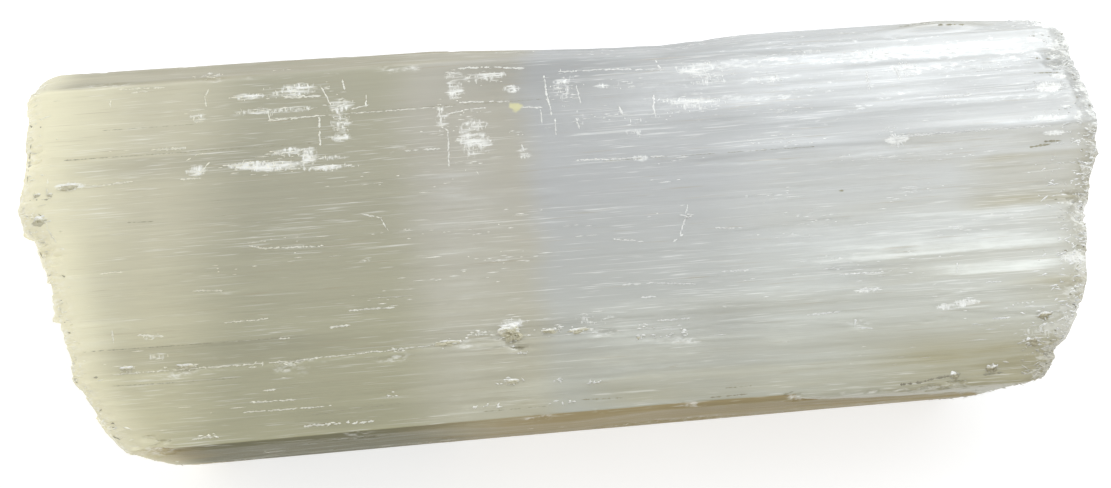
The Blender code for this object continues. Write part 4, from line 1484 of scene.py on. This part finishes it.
# Soft panels of light: name, place, what it faces, width and depth, watts, colour
LIGHTS = (
    ("cool_panel", (0.34, 0.10, 0.62), (0.30, 0.0, 0.0), (0.60, 0.30), 1.0, (0.88, 0.94, 1.0)),
    ("cool_window", (0.24, 0.55, 0.40), (0.09, 0.02, 0.05), (0.30, 0.10), 2.2, (0.92, 0.96, 1.0)),
    ("warm_window", (-0.60, -0.05, 0.55), (-0.05, 0.0, 0.03), (0.4, 0.6), 0.7, (1.0, 0.95, 0.82)),
)


def new_object(name, data):
    """A new object in the scene, at the origin."""
    made = bpy.data.objects.new(name, data)
    bpy.context.scene.collection.objects.link(made)
    return made


def to_frame_box(co):
    """Fits the mesh to the box of the node that it stands for."""
    low, high = co.min(axis=0), co.max(axis=0)
    return NODE_LOW + (co - low) * (NODE_HIGH - NODE_LOW) / (high - low)


def bake_map(mesh, co, stations, columns):
    """A UV map: the skin unrolled below, and the two broken ends side by side above it."""
    corners = np.empty(len(mesh.loops), dtype=np.int32)
    mesh.loops.foreach_get("vertex_index", corners)
    skin_corners = 4 * (stations - 1) * columns  # the skin's faces come first, and have four each
    station, column = np.divmod(corners[:skin_corners], columns)
    place_in_face = np.arange(skin_corners) % 4
    # Corners that close the loop round the log go to the far edge of the map
    closing = (column == 0) & ((place_in_face == 1) | (place_in_face == 2))
    column[closing] = columns
    ends = co[corners[skin_corners:]]
    ends_y, ends_z = (ends[:, 1] + HALF_WIDTH) / (2.0 * HALF_WIDTH), ends[:, 2] / HEIGHT
    uv = np.empty((len(corners), 2))
    uv[:skin_corners, 0] = 0.01 + 0.98 * station / (stations - 1)
    uv[:skin_corners, 1] = 0.01 + 0.77 * column / columns
    uv[skin_corners:, 0] = np.where(ends[:, 0] < 0.0, 0.02, 0.52) + 0.46 * ends_y
    uv[skin_corners:, 1] = 0.80 + 0.19 * ends_z
    mesh.uv_layers.new(name="OFBake").data.foreach_set("uv", uv.ravel())


def point_values(mesh, name, values):
    """Gives each point of the mesh a number that its material reads."""
    mesh.attributes.new(name, "FLOAT", "POINT").data.foreach_set("value", values.astype(np.float32))


class SELENITE_OT_build_log(bpy.types.Operator):
    """Builds the fibred body of the log in place of its solid"""

    bl_idname = "selenite.build_log"
    bl_label = "Selenite log"

    def execute(self, context):
        settings = context.scene.selenite_log
        co, faces, worn, (stations, columns) = build_log_mesh()
        co = to_frame_box(co)
        mesh = mesh_of("satin_spar_log", co, faces)
        bake_map(mesh, co, stations, columns)
        point_values(mesh, "worn", worn)
        point_values(mesh, "scuff", scuff_weight(co))
        point_values(mesh, "rim", closeness_to_end(co, stations, columns))
        # Painted sheen, tan stretches partly of painted shade, and painted shade, as point values
        for name, patches in (("painted_sheen", PAINTED_SHEEN_PATCHES), ("stain_and_shade", STAIN_AND_SHADE_PATCHES), ("painted_shade", PAINTED_SHADE_PATCHES)):
            point_values(mesh, name, patch_weight(co, patches))
        flank = flank_weight(co, stations, columns)
        point_values(mesh, "flank", flank)
        mesh.shade_smooth()
        mesh.set_sharp_from_angle(angle=SHARP_ANGLE)
        mesh.materials.append(satin_spar(settings, "satin_spar", settings.gloss))
        # The front flank's copy of the skin, with almost no gloss, is painted shade
        mesh.materials.append(satin_spar(settings, "shadowed_flank_spar", settings.flank_gloss))
        on_flank = flank[[polygon.vertices[0] for polygon in mesh.polygons]] > 0.5
        mesh.polygons.foreach_set("material_index", on_flank.astype(np.int32))
        log = new_object("satin_spar_log", mesh)
        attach(log, BODY)
        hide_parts(NODE)
        return {"FINISHED"}


class SELENITE_OT_build_marks(bpy.types.Operator):
    """Lays the scuffs, scratches, bruises and crumbs on the log"""

    bl_idname = "selenite.build_marks"
    bl_label = "Marks and crumbs"

    def execute(self, context):
        log = bpy.data.objects.get("satin_spar_log")
        if log is None:
            raise RuntimeError("the log comes before the marks on it")
        co = np.empty(3 * len(log.data.vertices))
        log.data.vertices.foreach_get("co", co)
        co = co.reshape(-1, 3) / MM
        skin = Skin(co, [polygon.vertices[:] for polygon in log.data.polygons])
        settings = context.scene.selenite_log
        chalk = chalky_gypsum(settings)
        columns = len(fine_columns())
        rims = (co[:columns], co[(STATIONS - 1) * columns:STATIONS * columns])
        for mesh, material in (
                (torn_fibres(skin, settings.loose_flakes), chalk),
                (bruise_mesh(skin, np.random.default_rng(SEED + 40)), crushed_spar(settings)),
                (end_crumbs(skin, rims, settings.crumbs, np.random.default_rng(SEED + 50)), chalk),
                (cracks(skin, rims, np.random.default_rng(SEED + 30)), dirt_and_shade_gypsum(settings))):
            mesh.materials.append(material)
            marks = new_object(mesh.name, mesh)
            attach(marks, BODY)
        return {"FINISHED"}


def area_light(name, place, aim, size, watts, colour):
    """One soft panel of light at a place, turned to face its aim."""
    light = bpy.data.lights.new(name, "AREA")
    light.shape = "RECTANGLE"
    light.size, light.size_y = size
    light.energy = watts
    light.color = colour
    made = new_object(name, light)
    made.location = place
    made.rotation_euler = (Vector(aim) - Vector(place)).to_track_quat("-Z", "Y").to_euler()
    return made


class SELENITE_OT_build_stage(bpy.types.Operator):
    """Builds the floor, the lights and the camera"""

    bl_idname = "selenite.build_stage"
    bl_label = "Stage"

    def execute(self, context):
        scene = context.scene
        settings = scene.selenite_stage
        turns = np.linspace(0.0, 2.0 * np.pi, FLOOR_SIDES, endpoint=False)
        ring = [(settings.floor_radius * math.cos(t), settings.floor_radius * math.sin(t), 0.0)
                for t in turns]
        mesh = bpy.data.meshes.new("studio_floor")
        mesh.from_pydata(ring, [], [tuple(range(len(ring)))])
        mesh.materials.append(studio_floor(settings))
        new_object("studio_floor", mesh)

        world = bpy.data.worlds.new("soft_room")
        scene.world = world
        world.use_nodes = True
        background = world.node_tree.nodes["Background"]
        background.inputs["Color"].default_value = ROOM_COLOUR
        background.inputs["Strength"].default_value = settings.room_light

        for light in LIGHTS:
            area_light(*light)

        camera = bpy.data.cameras.new("view")
        camera.lens = settings.lens
        camera.sensor_width = 36.0
        camera.clip_start, camera.clip_end = CLIP_FROM, CLIP_TO
        viewer = new_object("view", camera)
        back = Vector((math.sin(settings.azimuth) * math.cos(settings.elevation),
                       -math.cos(settings.azimuth) * math.cos(settings.elevation),
                       math.sin(settings.elevation)))
        viewer.location = Vector(settings.aim) + back * settings.distance
        viewer.rotation_euler = back.to_track_quat("Z", "Y").to_euler()
        scene.camera = viewer
        scene.view_settings.view_transform = "Standard"
        return {"FINISHED"}


class SELENITE_PT_panel(bpy.types.Panel):
    """Lists what the add-on builds, and its settings"""

    bl_idname = "SELENITE_PT_panel"
    bl_label = "Selenite log"
    bl_space_type = "VIEW_3D"
    bl_region_type = "UI"
    bl_category = "Selenite"

    def draw(self, context):
        scene = context.scene
        for operators, settings in (
                (("selenite.build_log", "selenite.build_marks"), scene.selenite_log),
                (("selenite.build_stage",), scene.selenite_stage)):
            box = self.layout.box()
            for operator in operators:
                box.operator(operator)
            for name in type(settings).__annotations__:
                box.prop(settings, name)


CLASSES = (SeleniteLogSettings, SeleniteStageSettings, SELENITE_OT_build_log,
           SELENITE_OT_build_marks, SELENITE_OT_build_stage, SELENITE_PT_panel)


def register():
    for cls in CLASSES:
        bpy.utils.register_class(cls)
    bpy.types.Scene.selenite_log = bpy.props.PointerProperty(type=SeleniteLogSettings)
    bpy.types.Scene.selenite_stage = bpy.props.PointerProperty(type=SeleniteStageSettings)


def unregister():
    del bpy.types.Scene.selenite_stage
    del bpy.types.Scene.selenite_log
    for cls in reversed(CLASSES):
        bpy.utils.unregister_class(cls)


def main():
    register()
    bpy.ops.selenite.build_log()
    bpy.ops.selenite.build_marks()
    bpy.ops.selenite.build_stage()


if __name__ == "__main__":
    main()
